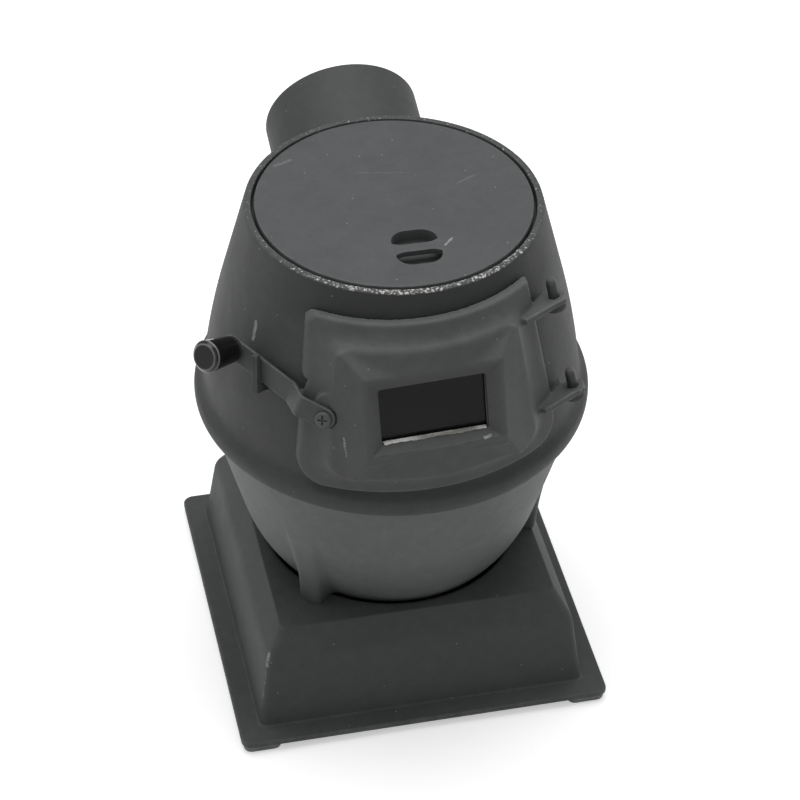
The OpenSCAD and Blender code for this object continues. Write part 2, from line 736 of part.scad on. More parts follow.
// Sloping recess from the frame's front edges down to the window
module window_bevel() {
    over = 4;
    grow_w = (frame_w - 4 - window_w) / 2 * over / bevel_depth;
    grow_h = (frame_h - 4 - window_h) / 2 * over / bevel_depth;
    intersection() {
        translate([0, 0, -cut / 2]) linear_extrude(cut) polygon([
            [-frame_w / 2 + 2 - grow_w, -over], [frame_w / 2 - 2 + grow_w, -over],
            [window_w / 2, bevel_depth], [-window_w / 2, bevel_depth]]);
        rotate([90, 0, 90]) linear_extrude(cut, center = true) polygon([
            [-over, -frame_h / 2 + 2 - grow_h], [bevel_depth, -window_h / 2 - window_drop],
            [bevel_depth, window_h / 2 - window_drop], [-over, frame_h / 2 - 2 + grow_h]]);
    }
}

glass_w = window_w + 2 * glass_lap;
glass_h = window_h + 2 * glass_lap;
glass_front = bevel_depth + lip_t + gasket_t;
glass_back = glass_front + glass_t;
rim_w = glass_w + 2 * glass_gap + 2 * glass_rim_w;
rim_h = glass_h + 2 * glass_gap + 2 * glass_rim_w;

module glass_screw_places() for (x = [-1, 1], z = [-1, 1])
    translate([x * (rim_w - glass_rim_w) / 2, glass_back, z * (rim_h - glass_rim_w) / 2 - window_drop])
        rotate([-90, 0, 0]) children();

module latch_boss() on_latch() rotate([0, -latch_rise, 0]) {
    top = bar_t + latch_gap + washer_t;
    deep = latch_out - top;
    translate([0, top, 0]) rotate([-90, 0, 0]) cylinder(h = deep, r = boss_r);
    translate([0, top, boss_rise]) rotate([-90, 0, 0]) cylinder(h = deep, r = boss_r);
    translate([-boss_r, top, 0]) cube([2 * boss_r, deep, boss_rise]);
}

module door_ear() difference() {
    linear_extrude(ear_t) polygon(concat(arc([0, 0], ear_r, ear_r, 60, -110, 12),
        [[-30, 3], [-30, 17], [-19, 16], [-11, 11]]));
    translate([0, 0, -1]) cylinder(h = ear_t + 2, r = hinge_pin_r + hinge_clearance);
}

module door() color(iron) {
    flange = door_outline(door_w_bottom, door_w_top, door_h, [20, 20, 4, 8]);
    panel = door_outline(panel_w_bottom, panel_w_top, panel_h, [12, 12, 6, 6]);
    hollow = door_outline(panel_w_bottom - 2 * panel_wall, panel_w_top - 2 * panel_wall,
        panel_h - 2 * panel_wall, [6, 6, 3, 3]);
    difference() {
        union() {
            difference() {
                union() {
                    door_slab(flange, door_gap, door_face);
                    door_slab(panel, door_gap, panel_face);
                    intersection() {
                        on_window() window_frame();
                        on_door() front_prism(panel, -cut / 2, 0);
                    }
                    latch_boss();
                }
                door_slab(hollow, door_gap - 1, panel_face - panel_wall);
                // clears the barrel's side
                rotate_extrude() polygon(concat([[0, barrel_top]], moved_out(barrel_side, door_gap),
                    [[belly_r + door_gap, barrel_seat], [0, barrel_seat]]));
            }
            for (i = [0, 1]) on_hinge() translate([0, 0, i * hinge_pitch - ear_t]) door_ear();
            on_window() window_box(rim_w, rim_h, 2, glass_back, -window_drop);
        }
        on_window() {
            window_bevel();
            window_box(window_w, window_h, bevel_depth - eps, glass_back, -window_drop);
            window_box(glass_w + 2 * glass_gap, glass_h + 2 * glass_gap, bevel_depth + lip_t,
                glass_back + 1, -window_drop);
            window_box(rim_w, rim_h, glass_back, glass_back + rim_w, -window_drop);
            glass_screw_places() translate([0, 0, -8]) cylinder(h = 9, r = glass_screw_r + fixed_gap);
        }
        on_latch() rotate([-90, 0, 0]) {
            cylinder(h = latch_out - 2, r = latch_screw_r + fixed_gap);
            // spot face for the washer and the bar's round end
            translate([0, 0, -20]) cylinder(h = 20 + bar_t + latch_gap + washer_t, r = boss_r + 0.5);
        }
        // notch in the door's edge, where the bar's fold swings up
        on_latch() span([-bar_inner_l - bar_step_l, bar_step_d - bar_t, bar_w / 2 + 3],
            [-bar_inner_l - 2.2, bar_step_d + 2 * bar_t, bar_w]);
    }
}

module window_gasket() color(rope) on_window() difference() {
    window_box(glass_w, glass_h, bevel_depth + lip_t, glass_front, -window_drop);
    window_box(window_w, window_h, 0, glass_front + 1, -window_drop);
}

module window_glass() color(clear_glass) on_window()
    window_box(glass_w, glass_h, glass_front, glass_back, -window_drop);

module glass_retainer() color(steel) on_window() difference() {
    window_box(rim_w - 1, rim_h - 1, glass_back, glass_back + retainer_t, -window_drop);
    window_box(window_w, window_h, 0, cut, -window_drop);
    glass_screw_places() translate([0, 0, -1]) cylinder(h = retainer_t + 2, r = glass_screw_r + 0.2);
}

module glass_screws() color(steel) on_window() glass_screw_places() {
    translate([0, 0, -7]) cylinder(h = 7 + retainer_t + eps, r = glass_screw_r);
    translate([0, 0, retainer_t]) difference() {
        cylinder(h = 2, r = 3.6);
        translate([0, 0, 1.5]) cube([8, 1, 2], center = true);
    }
}

// ---- Hinge pins ----

module hinge_pin(i) color(steel) on_hinge() translate([0, 0, i * hinge_pitch]) rotate_extrude() polygon([
    [0, -2 * ear_t - 2 * ear_gap - 2], [hinge_pin_r - 1, -2 * ear_t - 2 * ear_gap - 2],
    [hinge_pin_r, -2 * ear_t - 2 * ear_gap - 1], [hinge_pin_r, pin_above - 1.5],
    [hinge_pin_r - 1.5, pin_above], [0, pin_above]]);

module hinge_pin_upper() hinge_pin(1);
module hinge_pin_lower() hinge_pin(0);

// ---- Latch ----

module latch_bar() color(steel) on_latch() {
    outer_face = [[bar_w / 2, 0], [-bar_inner_l, 0], [-bar_inner_l - bar_step_l, bar_step_d],
        [-bar_inner_l - bar_step_l - bar_outer_l * cos(bar_turn), bar_step_d + bar_outer_l * sin(bar_turn)]];
    strip = concat(outer_face, backwards(offset_path(outer_face, -bar_t)));
    end_r = 5;
    difference() {
        intersection() {
            translate([0, 0, -bar_w / 2]) linear_extrude(bar_w) polygon(strip);
            union() {
                rotate([90, 0, 0]) cylinder(h = cut, r = bar_w / 2, center = true);
                translate([-cut, -cut / 2, -cut / 2]) cube(cut);
            }
            on_bar_end() union() {
                for (s = [-1, 1]) translate([end_r - bar_outer_l, 0, s * (bar_w / 2 - end_r)])
                    rotate([90, 0, 0]) cylinder(h = cut, r = end_r, center = true);
                translate([-bar_outer_l, -cut / 2, end_r - bar_w / 2]) cube([cut, cut, bar_w - 2 * end_r]);
                translate([end_r - bar_outer_l, -cut / 2, -cut / 2]) cube(cut);
            }
        }
        rotate([90, 0, 0]) cylinder(h = 4 * bar_t, r = latch_screw_r + 0.05, center = true);
        on_bar_end() translate([-knob_at, 0, 0]) rotate([90, 0, 0])
            cylinder(h = 4 * bar_t, r = latch_screw_r + 0.1, center = true);
    }
}

// Cross recess cut in a screw head whose top is at z 0
module cross_recess(r, depth) for (a = [0, 90]) rotate([0, 0, a])
    translate([0, 0, -depth / 2 + 0.5]) cube([2 * r, 1.3, depth + 1], center = true);

module latch_screw() color(steel) on_latch() rotate([-90, 0, 0]) {
    under_head = -latch_gap;
    translate([0, 0, under_head - eps]) cylinder(h = latch_out - 4, r = latch_screw_r);
    difference() {
        translate([0, 0, under_head]) mirror([0, 0, 1]) rotate_extrude() polygon(concat(
            [[0, 0], [screw_head_r, 0]],
            arc([screw_head_r - 2, screw_head_h - 2], 2, 2, 0, 90, 4), [[0, screw_head_h]]));
        translate([0, 0, under_head - screw_head_h]) mirror([0, 0, 1]) cross_recess(screw_head_r * 0.55, 1.6);
    }
}

module latch_washer() color(steel) on_latch() translate([0, bar_t + latch_gap, 0]) rotate([-90, 0, 0])
    difference() {
        cylinder(h = washer_t, r = boss_r - 1);
        translate([0, 0, -1]) cylinder(h = washer_t + 2, r = latch_screw_r + 0.3);
    }

module latch_knob() color(black) on_latch() on_bar_end() translate([-knob_at, 0, 0]) rotate([90, 0, 0])
    difference() {
        rotate_extrude() polygon([[0, 0], [knob_collar_r, 0], [knob_collar_r, knob_collar_l],
            [knob_r - 1, knob_collar_l], [knob_r, knob_collar_l + 1], [knob_r, knob_l - knob_chamfer],
            [knob_r - knob_chamfer, knob_l], [0, knob_l]]);
        translate([0, 0, -1]) cylinder(h = 19, r = latch_screw_r + fixed_gap);
    }

module knob_screw() color(steel) on_latch() on_bar_end() translate([-knob_at, bar_t, 0]) rotate([90, 0, 0]) {
    translate([0, 0, -eps]) cylinder(h = bar_t + 16, r = latch_screw_r);
    translate([0, 0, -knob_screw_head_h]) difference() {
        cylinder(h = knob_screw_head_h, r = latch_screw_r * 1.8);
        mirror([0, 0, 1]) cross_recess(latch_screw_r, 1.2);
    }
}

// ---- Ash drawer ----

front_bottom = flange_top + drawer_gap;
front_top = flange_top + drawer_h - drawer_gap;
pull_z = (front_bottom + front_top) / 2;
pull_wall = 3;

// Cup in the drawer's front, grown by g on every side
module pull_cup(g) translate([wall_x(pull_z) - pull_depth - g, -pull_w / 2 - g, pull_z - pull_h / 2 - g])
    cube([pull_depth + 30, pull_w + 2 * g, pull_h + 2 * g]);

// Outline of the drawer between two insets from the base wall's outer face
function slanted(z0, z1, outer, inner) = [[wall_x(z0, outer), z0], [wall_x(z1, outer), z1],
    [wall_x(z1, inner), z1], [wall_x(z0, inner), z0]];

module rivet_places() for (y = [-1, 1], z = [-1, 1]) let (at_z = pull_z + z * drawer_h / 4)
    translate([wall_x(at_z, base_wall), y * drawer_w * 0.4, at_z]) rotate([0, 90 - wall_lean, 0]) children();

module drawer_front() color(iron_dark) difference() {
    union() {
        translate([0, drawer_w / 2 - drawer_gap, 0]) rotate([90, 0, 0])
            linear_extrude(drawer_w - 2 * drawer_gap) polygon(slanted(front_bottom, front_top, 0, base_wall));
        intersection() {
            pull_cup(pull_wall);
            translate([0, pull_w, 0]) rotate([90, 0, 0]) linear_extrude(2 * pull_w)
                polygon(slanted(front_bottom, front_top, 0, pull_depth + 10));
        }
    }
    difference() {
        pull_cup(0);
        translate([0, pull_bar_w / 2, 0]) rotate([90, 0, 0]) linear_extrude(pull_bar_w)
            polygon(slanted(front_bottom, front_top, 0, pull_bar_t));
    }
    rivet_places() translate([0, 0, -2]) cylinder(h = base_wall + 4, r = rivet_r + fixed_gap);
}

module ash_pan() color(steel) {
    pan_bottom = flange_top + seat_gap;
    pan_top = front_top - pan_dip;
    half_w = drawer_w / 2 - drawer_gap;
    difference() {
        translate([0, half_w, 0]) rotate([90, 0, 0]) linear_extrude(2 * half_w) polygon([
            [-pan_back, pan_bottom], [wall_x(pan_bottom, base_wall), pan_bottom],
            [wall_x(pan_top, base_wall), pan_top], [-pan_back, pan_top]]);
        translate([0, half_w - pan_wall, 0]) rotate([90, 0, 0]) linear_extrude(2 * (half_w - pan_wall)) polygon([
            [-pan_back + pan_wall, pan_bottom + pan_wall],
            [wall_x(pan_bottom + pan_wall, base_wall + pan_wall), pan_bottom + pan_wall],
            [wall_x(pan_top + 1, base_wall + pan_wall), pan_top + 1], [-pan_back + pan_wall, pan_top + 1]]);
        pull_cup(pull_wall + fixed_gap);
        rivet_places() translate([0, 0, -4]) cylinder(h = 8, r = rivet_r + fixed_gap);
    }
}

module drawer_rivets() color(steel) rivet_places() {
    head_h = 1.4;
    translate([0, 0, -pan_wall - head_h]) cylinder(h = head_h, r = rivet_r * 1.8);
    translate([0, 0, -pan_wall - eps]) cylinder(h = pan_wall + base_wall + 2 * eps, r = rivet_r);
    translate([0, 0, base_wall]) cylinder(h = head_h, r = rivet_r * 1.8);
}

base();
fire_pot();
grate();
pot_seal();
barrel();
flue_collar();
collar_gasket();
flue_bolts();
lid();
door();
window_glass();
window_gasket();
glass_retainer();
glass_screws();
hinge_pin_upper();
hinge_pin_lower();
latch_bar();
latch_screw();
latch_washer();
latch_knob();
knob_screw();
ash_pan();
drawer_front();
drawer_rivets();
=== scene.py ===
"""Looks of a small cast-iron potbelly stove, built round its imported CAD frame.

Lengths are millimetres in the frame's own axes until a mesh is made: +Z up from the
floor, fuel door facing -Y, ash drawer on +X. Azimuths run from -Y towards +X.
"""
from itertools import product
from math import acos, atan, atan2, cos, hypot, pi, radians, sin, tan

import bmesh
import bpy
import numpy as np
from mathutils import Matrix, Vector


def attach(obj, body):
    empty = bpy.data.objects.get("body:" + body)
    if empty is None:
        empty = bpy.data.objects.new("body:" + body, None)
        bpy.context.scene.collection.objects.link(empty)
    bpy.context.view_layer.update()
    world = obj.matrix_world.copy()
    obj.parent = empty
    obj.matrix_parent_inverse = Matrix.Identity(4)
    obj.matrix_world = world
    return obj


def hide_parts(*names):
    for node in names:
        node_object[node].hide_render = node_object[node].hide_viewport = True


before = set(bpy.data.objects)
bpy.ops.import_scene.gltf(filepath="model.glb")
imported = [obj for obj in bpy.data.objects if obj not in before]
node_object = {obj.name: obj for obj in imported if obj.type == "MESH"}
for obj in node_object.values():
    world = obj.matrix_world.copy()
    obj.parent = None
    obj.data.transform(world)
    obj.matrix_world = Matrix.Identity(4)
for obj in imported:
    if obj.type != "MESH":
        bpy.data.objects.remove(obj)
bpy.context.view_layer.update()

# ---- Camera ----
# A long lens from the front left, looking 40 degrees down, as the picture was taken.

azimuth, elevation, roll = radians(-13.1129), radians(40.2431), radians(1.0488)
towards = Vector((sin(azimuth) * cos(elevation), -cos(azimuth) * cos(elevation), sin(elevation)))
level = (-towards).cross(Vector((0, 0, 1))).normalized()
upright = level.cross(-towards)
lens = bpy.data.cameras.new("camera")
lens.sensor_fit = "HORIZONTAL"
lens.sensor_width = 36
lens.lens = 130.99
lens.clip_end = 50
camera = bpy.data.objects.new("camera", lens)
bpy.context.scene.collection.objects.link(camera)
camera.matrix_world = Matrix.Translation((-0.39255, -1.71695, 1.71115)) @ Matrix((
    cos(roll) * level + sin(roll) * upright,
    -sin(roll) * level + cos(roll) * upright,
    towards)).transposed().to_4x4()
bpy.context.scene.camera = camera
bpy.context.scene.view_settings.view_transform = "Standard"


# ---- Floor and light ----
# White studio floor that runs far out of view, lit by a white room and one wide soft box
# overhead. The weak ones at the sides only draw soft highlights down the castings.

def shade(code):
    """sRGB hex code as linear colour."""
    parts = [int(code[i:i + 2], 16) / 255 for i in (0, 2, 4)]
    return [p / 12.92 if p <= 0.04045 else ((p + 0.055) / 1.055) ** 2.4 for p in parts] + [1]


def add(tree, kind, inputs=(), **settings):
    """Adds a node with its settings; an input takes a value, or a socket to link."""
    made = tree.nodes.new(kind)
    for name, value in settings.items():
        setattr(made, name, value)
    for name, value in dict(inputs).items():
        if isinstance(value, bpy.types.NodeSocket):
            tree.links.new(value, made.inputs[name])
        else:
            made.inputs[name].default_value = value
    return made


def reckon(tree, operation, *values, clamp=False):
    """Result of one sum on numbers or sockets."""
    return add(tree, "ShaderNodeMath", enumerate(values), operation=operation, use_clamp=clamp).outputs[0]


def blend(tree, share, first, second):
    """Colour on the way from the first to the second."""
    return add(tree, "ShaderNodeMix", {0: share, 6: first, 7: second}, data_type="RGBA").outputs[2]


def new_material(name):
    material = bpy.data.materials.new(name)
    material.use_nodes = True
    material.node_tree.nodes.clear()
    return material, material.node_tree


def end_material(tree, inputs):
    """Closes a material's tree with one surface."""
    surface = add(tree, "ShaderNodeBsdfPrincipled", inputs)
    add(tree, "ShaderNodeOutputMaterial", {"Surface": surface.outputs[0]})


def soft_box(name, place, aim, width, height, watts):
    lamp = bpy.data.lights.new(name, "AREA")
    lamp.shape = "RECTANGLE"
    lamp.size, lamp.size_y, lamp.energy = width, height, watts
    box = bpy.data.objects.new(name, lamp)
    bpy.context.scene.collection.objects.link(box)
    box.matrix_world = Matrix.Translation(place) @ (
        Vector(aim) - Vector(place)).to_track_quat("-Z", "Y").to_matrix().to_4x4()


soft_box("top_box", (0.0, 0.45, 2.4), (0, 0.05, 0.3), 2.2, 1.8, 33)
soft_box("left_box", (-2.1, 0.3, 0.9), (0, 0, 0.25), 1.4, 1.4, 3)
soft_box("right_box", (2.1, 0.5, 0.9), (0, 0, 0.25), 1.4, 1.4, 3)

world = bpy.data.worlds.new("studio")
world.use_nodes = True
world.node_tree.nodes.clear()
bpy.context.scene.world = world
room_light = add(world.node_tree, "ShaderNodeBackground", {
    "Color": shade("ffffff"), "Strength": 0.43})
add(world.node_tree, "ShaderNodeOutputWorld", {"Surface": room_light.outputs[0]})

floor_paper, tree = new_material("white_paper_floor")
# Seen straight on, or in a gloss, the paper is white; it throws a little less light back
seen = add(tree, "ShaderNodeLightPath").outputs
plain = reckon(tree, "ADD", seen["Is Camera Ray"], seen["Is Glossy Ray"])
plain = reckon(tree, "ADD", plain, seen["Is Transmission Ray"], clamp=True)
end_material(tree, {
    "Base Color": blend(tree, plain, shade("a4a4a3"), shade("fafafa")), "Roughness": 0.9,
    "Specular IOR Level": 0.1, "Emission Color": shade("ffffff"),
    "Emission Strength": reckon(tree, "MULTIPLY", plain, 0.42)})
floor_mesh = bpy.data.meshes.new("floor")
floor_mesh.from_pydata([(-6, -6, 0), (6, -6, 0), (6, 6, 0), (-6, 6, 0)], [], [(0, 1, 2, 3)])
floor_mesh.materials.append(floor_paper)
floor = bpy.data.objects.new("floor", floor_mesh)
bpy.context.scene.collection.objects.link(floor)


# ---- Fire pot ----
# Bowl-shaped casting that holds the fire, on three cast lugs over the hole in the base.
# Grey iron poured in green sand, so it has a fine grain, soft corners and lugs that
# grow out of the bowl. The fire has left its matt grey paint paler than the rest.

def node_tree(name, *inputs):
    """Empty Geometry Nodes tree with named inputs and one geometry output."""
    made = bpy.data.node_groups.new(name, "GeometryNodeTree")
    for label, kind in inputs:
        made.interface.new_socket(label, in_out="INPUT", socket_type="NodeSocket" + kind)
    made.interface.new_socket("Geometry", in_out="OUTPUT", socket_type="NodeSocketGeometry")
    return made, add(made, "NodeGroupInput").outputs


def end_tree(tree, geometry, material):
    real = add(tree, "GeometryNodeRealizeInstances", {"Geometry": geometry}).outputs[0]
    coat = add(tree, "GeometryNodeSetMaterial", {"Geometry": real, "Material": material})
    add(tree, "NodeGroupOutput", {"Geometry": coat.outputs[0]})


def run_tree(tree, points, edges=(), attributes=(), **values):
    """Runs a tree on points, and edges if it needs them, and gives back the points and
    faces of the result."""
    mesh = bpy.data.meshes.new("start")
    mesh.from_pydata([tuple(p) for p in points], list(edges), [])
    for name, rows in dict(attributes).items():
        mesh.attributes.new(name, "FLOAT_VECTOR", "POINT").data.foreach_set(
            "vector", [float(v) for row in rows for v in row])
    thing = bpy.data.objects.new("start", mesh)
    bpy.context.scene.collection.objects.link(thing)
    run = thing.modifiers.new("run", "NODES")
    run.node_group = tree
    for item in tree.interface.items_tree:
        if item.in_out == "INPUT" and item.name in values:
            run[item.identifier] = values[item.name]
    result = as_arrays(thing)
    bpy.data.objects.remove(thing)
    return result


turn_a_profile, given = node_tree("turn a profile", ("Profile", "Geometry"), ("Segments", "Int"),
                                  ("Rows", "Int"), ("Material", "Material"))
rows = reckon(turn_a_profile, "ADD", given["Rows"], 1.0)
columns = reckon(turn_a_profile, "ADD", given["Segments"], 1.0)
grid = add(turn_a_profile, "GeometryNodeMeshGrid", {"Vertices X": columns, "Vertices Y": rows})
here = add(turn_a_profile, "GeometryNodeInputIndex").outputs[0]
column = reckon(turn_a_profile, "FLOOR", reckon(turn_a_profile, "DIVIDE", here, rows))
row = reckon(turn_a_profile, "MODULO", reckon(turn_a_profile, "MODULO", here, rows), given["Rows"])
place = add(turn_a_profile, "GeometryNodeInputPosition").outputs[0]
point = add(turn_a_profile, "GeometryNodeSampleIndex", {
    "Geometry": given["Profile"], "Index": row, "Value": place}, data_type="FLOAT_VECTOR")
share = reckon(turn_a_profile, "DIVIDE", column, given["Segments"])
angle = reckon(turn_a_profile, "MULTIPLY", share, 2 * pi)
place = add(turn_a_profile, "ShaderNodeVectorRotate", {
    "Vector": point.outputs[0], "Angle": angle}, rotation_type="Z_AXIS").outputs[0]
skin = add(turn_a_profile, "GeometryNodeSetPosition", {"Geometry": grid.outputs["Mesh"], "Position": place})
skin = add(turn_a_profile, "GeometryNodeMergeByDistance", {"Geometry": skin.outputs[0], "Distance": 0.001})
end_tree(turn_a_profile, skin.outputs[0], given["Material"])


def turned(profile, segments, material, hold=1.3):
    """Closed profile of (radius, height) turned round the Z axis. Its long runs get a
    point close to each end, which keeps the wear at the corners."""
    line = []
    for (r0, z0), (r1, z1) in zip(profile, profile[1:] + profile[:1]):
        line.append((r0, 0, z0))
        run = hypot(r1 - r0, z1 - z0)
        if run > 3 * hold:
            line += [(r0 + (r1 - r0) * t, 0, z0 + (z1 - z0) * t) for t in (hold / run, 1 - hold / run)]
    return run_tree(turn_a_profile, line, Segments=segments, Rows=len(line), Material=material)


def as_arrays(thing):
    """Points and faces of an object once its modifiers have run."""
    solved = thing.evaluated_get(bpy.context.evaluated_depsgraph_get())
    mesh = bpy.data.meshes.new_from_object(solved)
    points = np.empty(len(mesh.vertices) * 3)
    mesh.vertices.foreach_get("co", points)
    faces = [tuple(f.vertices) for f in mesh.polygons]
    bpy.data.meshes.remove(mesh)
    return points.reshape(-1, 3), faces


def moved(part, matrix):
    """A part's points taken through a 4 by 4 matrix."""
    points, faces = part
    m = np.array(matrix)
    return points @ m[:3, :3].T + m[:3, 3], faces


def mark_edges(mesh):
    """Attribute that is above zero where hands rub a corner and below it in a hollow."""
    count = len(mesh.vertices)
    place, facing = np.empty(count * 3), np.empty(count * 3)
    mesh.vertices.foreach_get("co", place)
    mesh.vertex_normals.foreach_get("vector", facing)
    place, facing = place.reshape(-1, 3), facing.reshape(-1, 3)
    a, b = np.array([e.vertices[:] for e in mesh.edges]).T
    way = place[b] - place[a]
    way /= np.maximum(np.linalg.norm(way, axis=1), 1e-9)[:, None]
    bend, met = np.zeros(count), np.zeros(count)
    np.add.at(bend, a, -(facing[a] * way).sum(1))
    np.add.at(bend, b, (facing[b] * way).sum(1))
    np.add.at(met, np.concatenate([a, b]), 1)
    bend /= np.maximum(met, 1)
    spread = bend * 2
    np.add.at(spread, a, bend[b])
    np.add.at(spread, b, bend[a])
    mesh.attributes.new("edge", "FLOAT", "POINT").data.foreach_set("value", spread / (met + 2))


def face_outwards(mesh):
    shell = bmesh.new()
    shell.from_mesh(mesh)
    bmesh.ops.recalc_face_normals(shell, faces=shell.faces)
    shell.to_mesh(mesh)
    shell.free()


def piece(name, body, material, parts, stands_for=()):
    """Joins parts in millimetres into one finished object that rides on a body."""
    points, faces = [], []
    for part_points, part_faces in parts:
        shift = sum(len(p) for p in points)
        points.append(np.asarray(part_points) / 1000)
        faces += [tuple(i + shift for i in f) for f in part_faces]
    mesh = bpy.data.meshes.new(name)
    mesh.from_pydata(np.vstack(points).tolist(), [], faces)
    face_outwards(mesh)
    mesh.polygons.foreach_set("use_smooth", [True] * len(mesh.polygons))
    mark_edges(mesh)
    mesh.set_sharp_from_angle(angle=radians(40))
    mesh.materials.append(material)
    made = bpy.data.objects.new(name, mesh)
    bpy.context.scene.collection.objects.link(made)
    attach(made, body)
    if stands_for:
        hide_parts(*stands_for)


def eased(corners, radii, steps=4, closed=True):
    """A line of corners, each rounded to its own radius."""
    line, n = [], len(corners)
    for i, (x, y) in enumerate(corners):
        r = radii[i] if hasattr(radii, "__len__") else radii
        if r == 0 or (not closed and i in (0, n - 1)):
            line.append((x, y))
            continue
        here = Vector((x, y))
        back = (Vector(corners[i - 1]) - here).normalized()
        on = (Vector(corners[(i + 1) % n]) - here).normalized()
        half = acos(max(-1, min(1, back.dot(on)))) / 2
        centre = here + (back + on).normalized() * r / sin(half)
        start = here + back * r / tan(half) - centre
        stop = here + on * r / tan(half) - centre
        first = atan2(start.y, start.x)
        sweep = (atan2(stop.y, stop.x) - first + pi) % (2 * pi) - pi
        angles = [first + sweep * k / steps for k in range(steps + 1)]
        line += [(centre.x + r * cos(a), centre.y + r * sin(a)) for a in angles]
    return line


def near(a, b, k):
    """Smallest of two distances, blended over k: joins two forms with a fillet."""
    h = np.clip(0.5 + 0.5 * (b - a) / k, 0, 1)
    return b + (a - b) * h - k * h * (1 - h)


def far(a, b, k):
    """Largest of two distances, blended over k: cuts with a rounded edge."""
    return -near(-a, -b, k)


def cast(distance, low, high, step):
    """Skin of a form given by its distance(x, y, z), found on a grid of that step and
    then moved onto the form itself."""
    axes = [np.arange(a, b + step, step) for a, b in zip(low, high)]
    field = distance(*np.meshgrid(*axes, indexing="ij"))
    inside = field < 0
    corners = list(product((0, 1), repeat=3))
    size = [n - 1 for n in field.shape]
    filled = sum(inside[tuple(slice(o, o + n) for o, n in zip(c, size))].astype(int) for c in corners)
    cell = np.argwhere((filled > 0) & (filled < 8))
    number = np.full(size, -1)
    number[tuple(cell.T)] = np.arange(len(cell))
    value = {c: field[tuple((cell + c).T)] for c in corners}
    total, count = np.zeros((len(cell), 3)), np.zeros(len(cell))
    for a, b in product(corners, corners):
        if sum(b) - sum(a) == 1 and all(q >= p for p, q in zip(a, b)):
            crossed = (value[a] < 0) != (value[b] < 0)
            share = value[a][crossed] / (value[a][crossed] - value[b][crossed])
            total[crossed] += np.array(a) + share[:, None] * (np.array(b) - np.array(a))
            count[crossed] += 1
    points = np.array(low) + (cell + total / count[:, None]) * step
    for _ in range(4):
        slope = np.stack([distance(*(points + d).T) - distance(*(points - d).T)
                          for d in np.eye(3) * 0.02], 1) / 0.04
        push = distance(*points.T) / np.maximum((slope ** 2).sum(1), 0.2)
        points = points - np.clip(push, -step / 3, step / 3)[:, None] * slope
    faces = []
    for k in range(3):
        a, b = [m for m in range(3) if m != k]
        low_side = inside.take(range(size[k]), axis=k)
        edge = np.argwhere(low_side != inside.take(range(1, size[k] + 1), axis=k))
        ring = []
        for da, db in ((0, 0), (-1, 0), (-1, -1), (0, -1)):
            at = edge.copy()
            at[:, a] += da
            at[:, b] += db
            ring.append(number[tuple(at.T)])
        ring = np.stack(ring, 1)
        flip = low_side[tuple(edge.T)] == (k == 1)
        ring[flip] = ring[flip][:, ::-1]
        faces += ring.tolist()
    return points, faces


def ramp(tree, value, start, end, low=0.0, high=1.0):
    """Low up to start, high from end on, and straight between them."""
    return add(tree, "ShaderNodeMapRange", {
        "Value": value, "From Min": start, "From Max": end, "To Min": low, "To Max": high}).outputs[0]


def noise(tree, place, scale, detail, roughness=0.5):
    return add(tree, "ShaderNodeTexNoise", {
        "Vector": place, "Scale": scale, "Detail": detail, "Roughness": roughness}).outputs


def spots(tree, place, scale, scatter=1.0):
    """Distance from the nearest of many points."""
    return add(tree, "ShaderNodeTexVoronoi", {
        "Vector": place, "Scale": scale, "Randomness": scatter}).outputs["Distance"]


def bump(tree, height, strength, depth, under=None):
    """Normal of a relief that deep in metres, laid on the one under it."""
    inputs = {"Height": height, "Strength": strength, "Distance": depth}
    if under is not None:
        inputs["Normal"] = under
    return add(tree, "ShaderNodeBump", inputs).outputs[0]


def line_mask(tree, place, start, end, width):
    """1 on a line from start to end, 0 off it, with lengths in millimetres."""
    start, run = Vector(start) / 1000, (Vector(end) - Vector(start)) / 1000
    gap = add(tree, "ShaderNodeVectorMath", {0: place, 1: start}, operation="SUBTRACT").outputs[0]
    share = add(tree, "ShaderNodeVectorMath", {
        0: gap, 1: run / run.length_squared}, operation="DOT_PRODUCT").outputs["Value"]
    share = reckon(tree, "MULTIPLY", share, 1.0, clamp=True)
    along = add(tree, "ShaderNodeVectorMath", {0: run, "Scale": share}, operation="SCALE").outputs[0]
    off = add(tree, "ShaderNodeVectorMath", {0: gap, 1: along}, operation="DISTANCE").outputs["Value"]
    return ramp(tree, off, width / 1000, width / 3000)


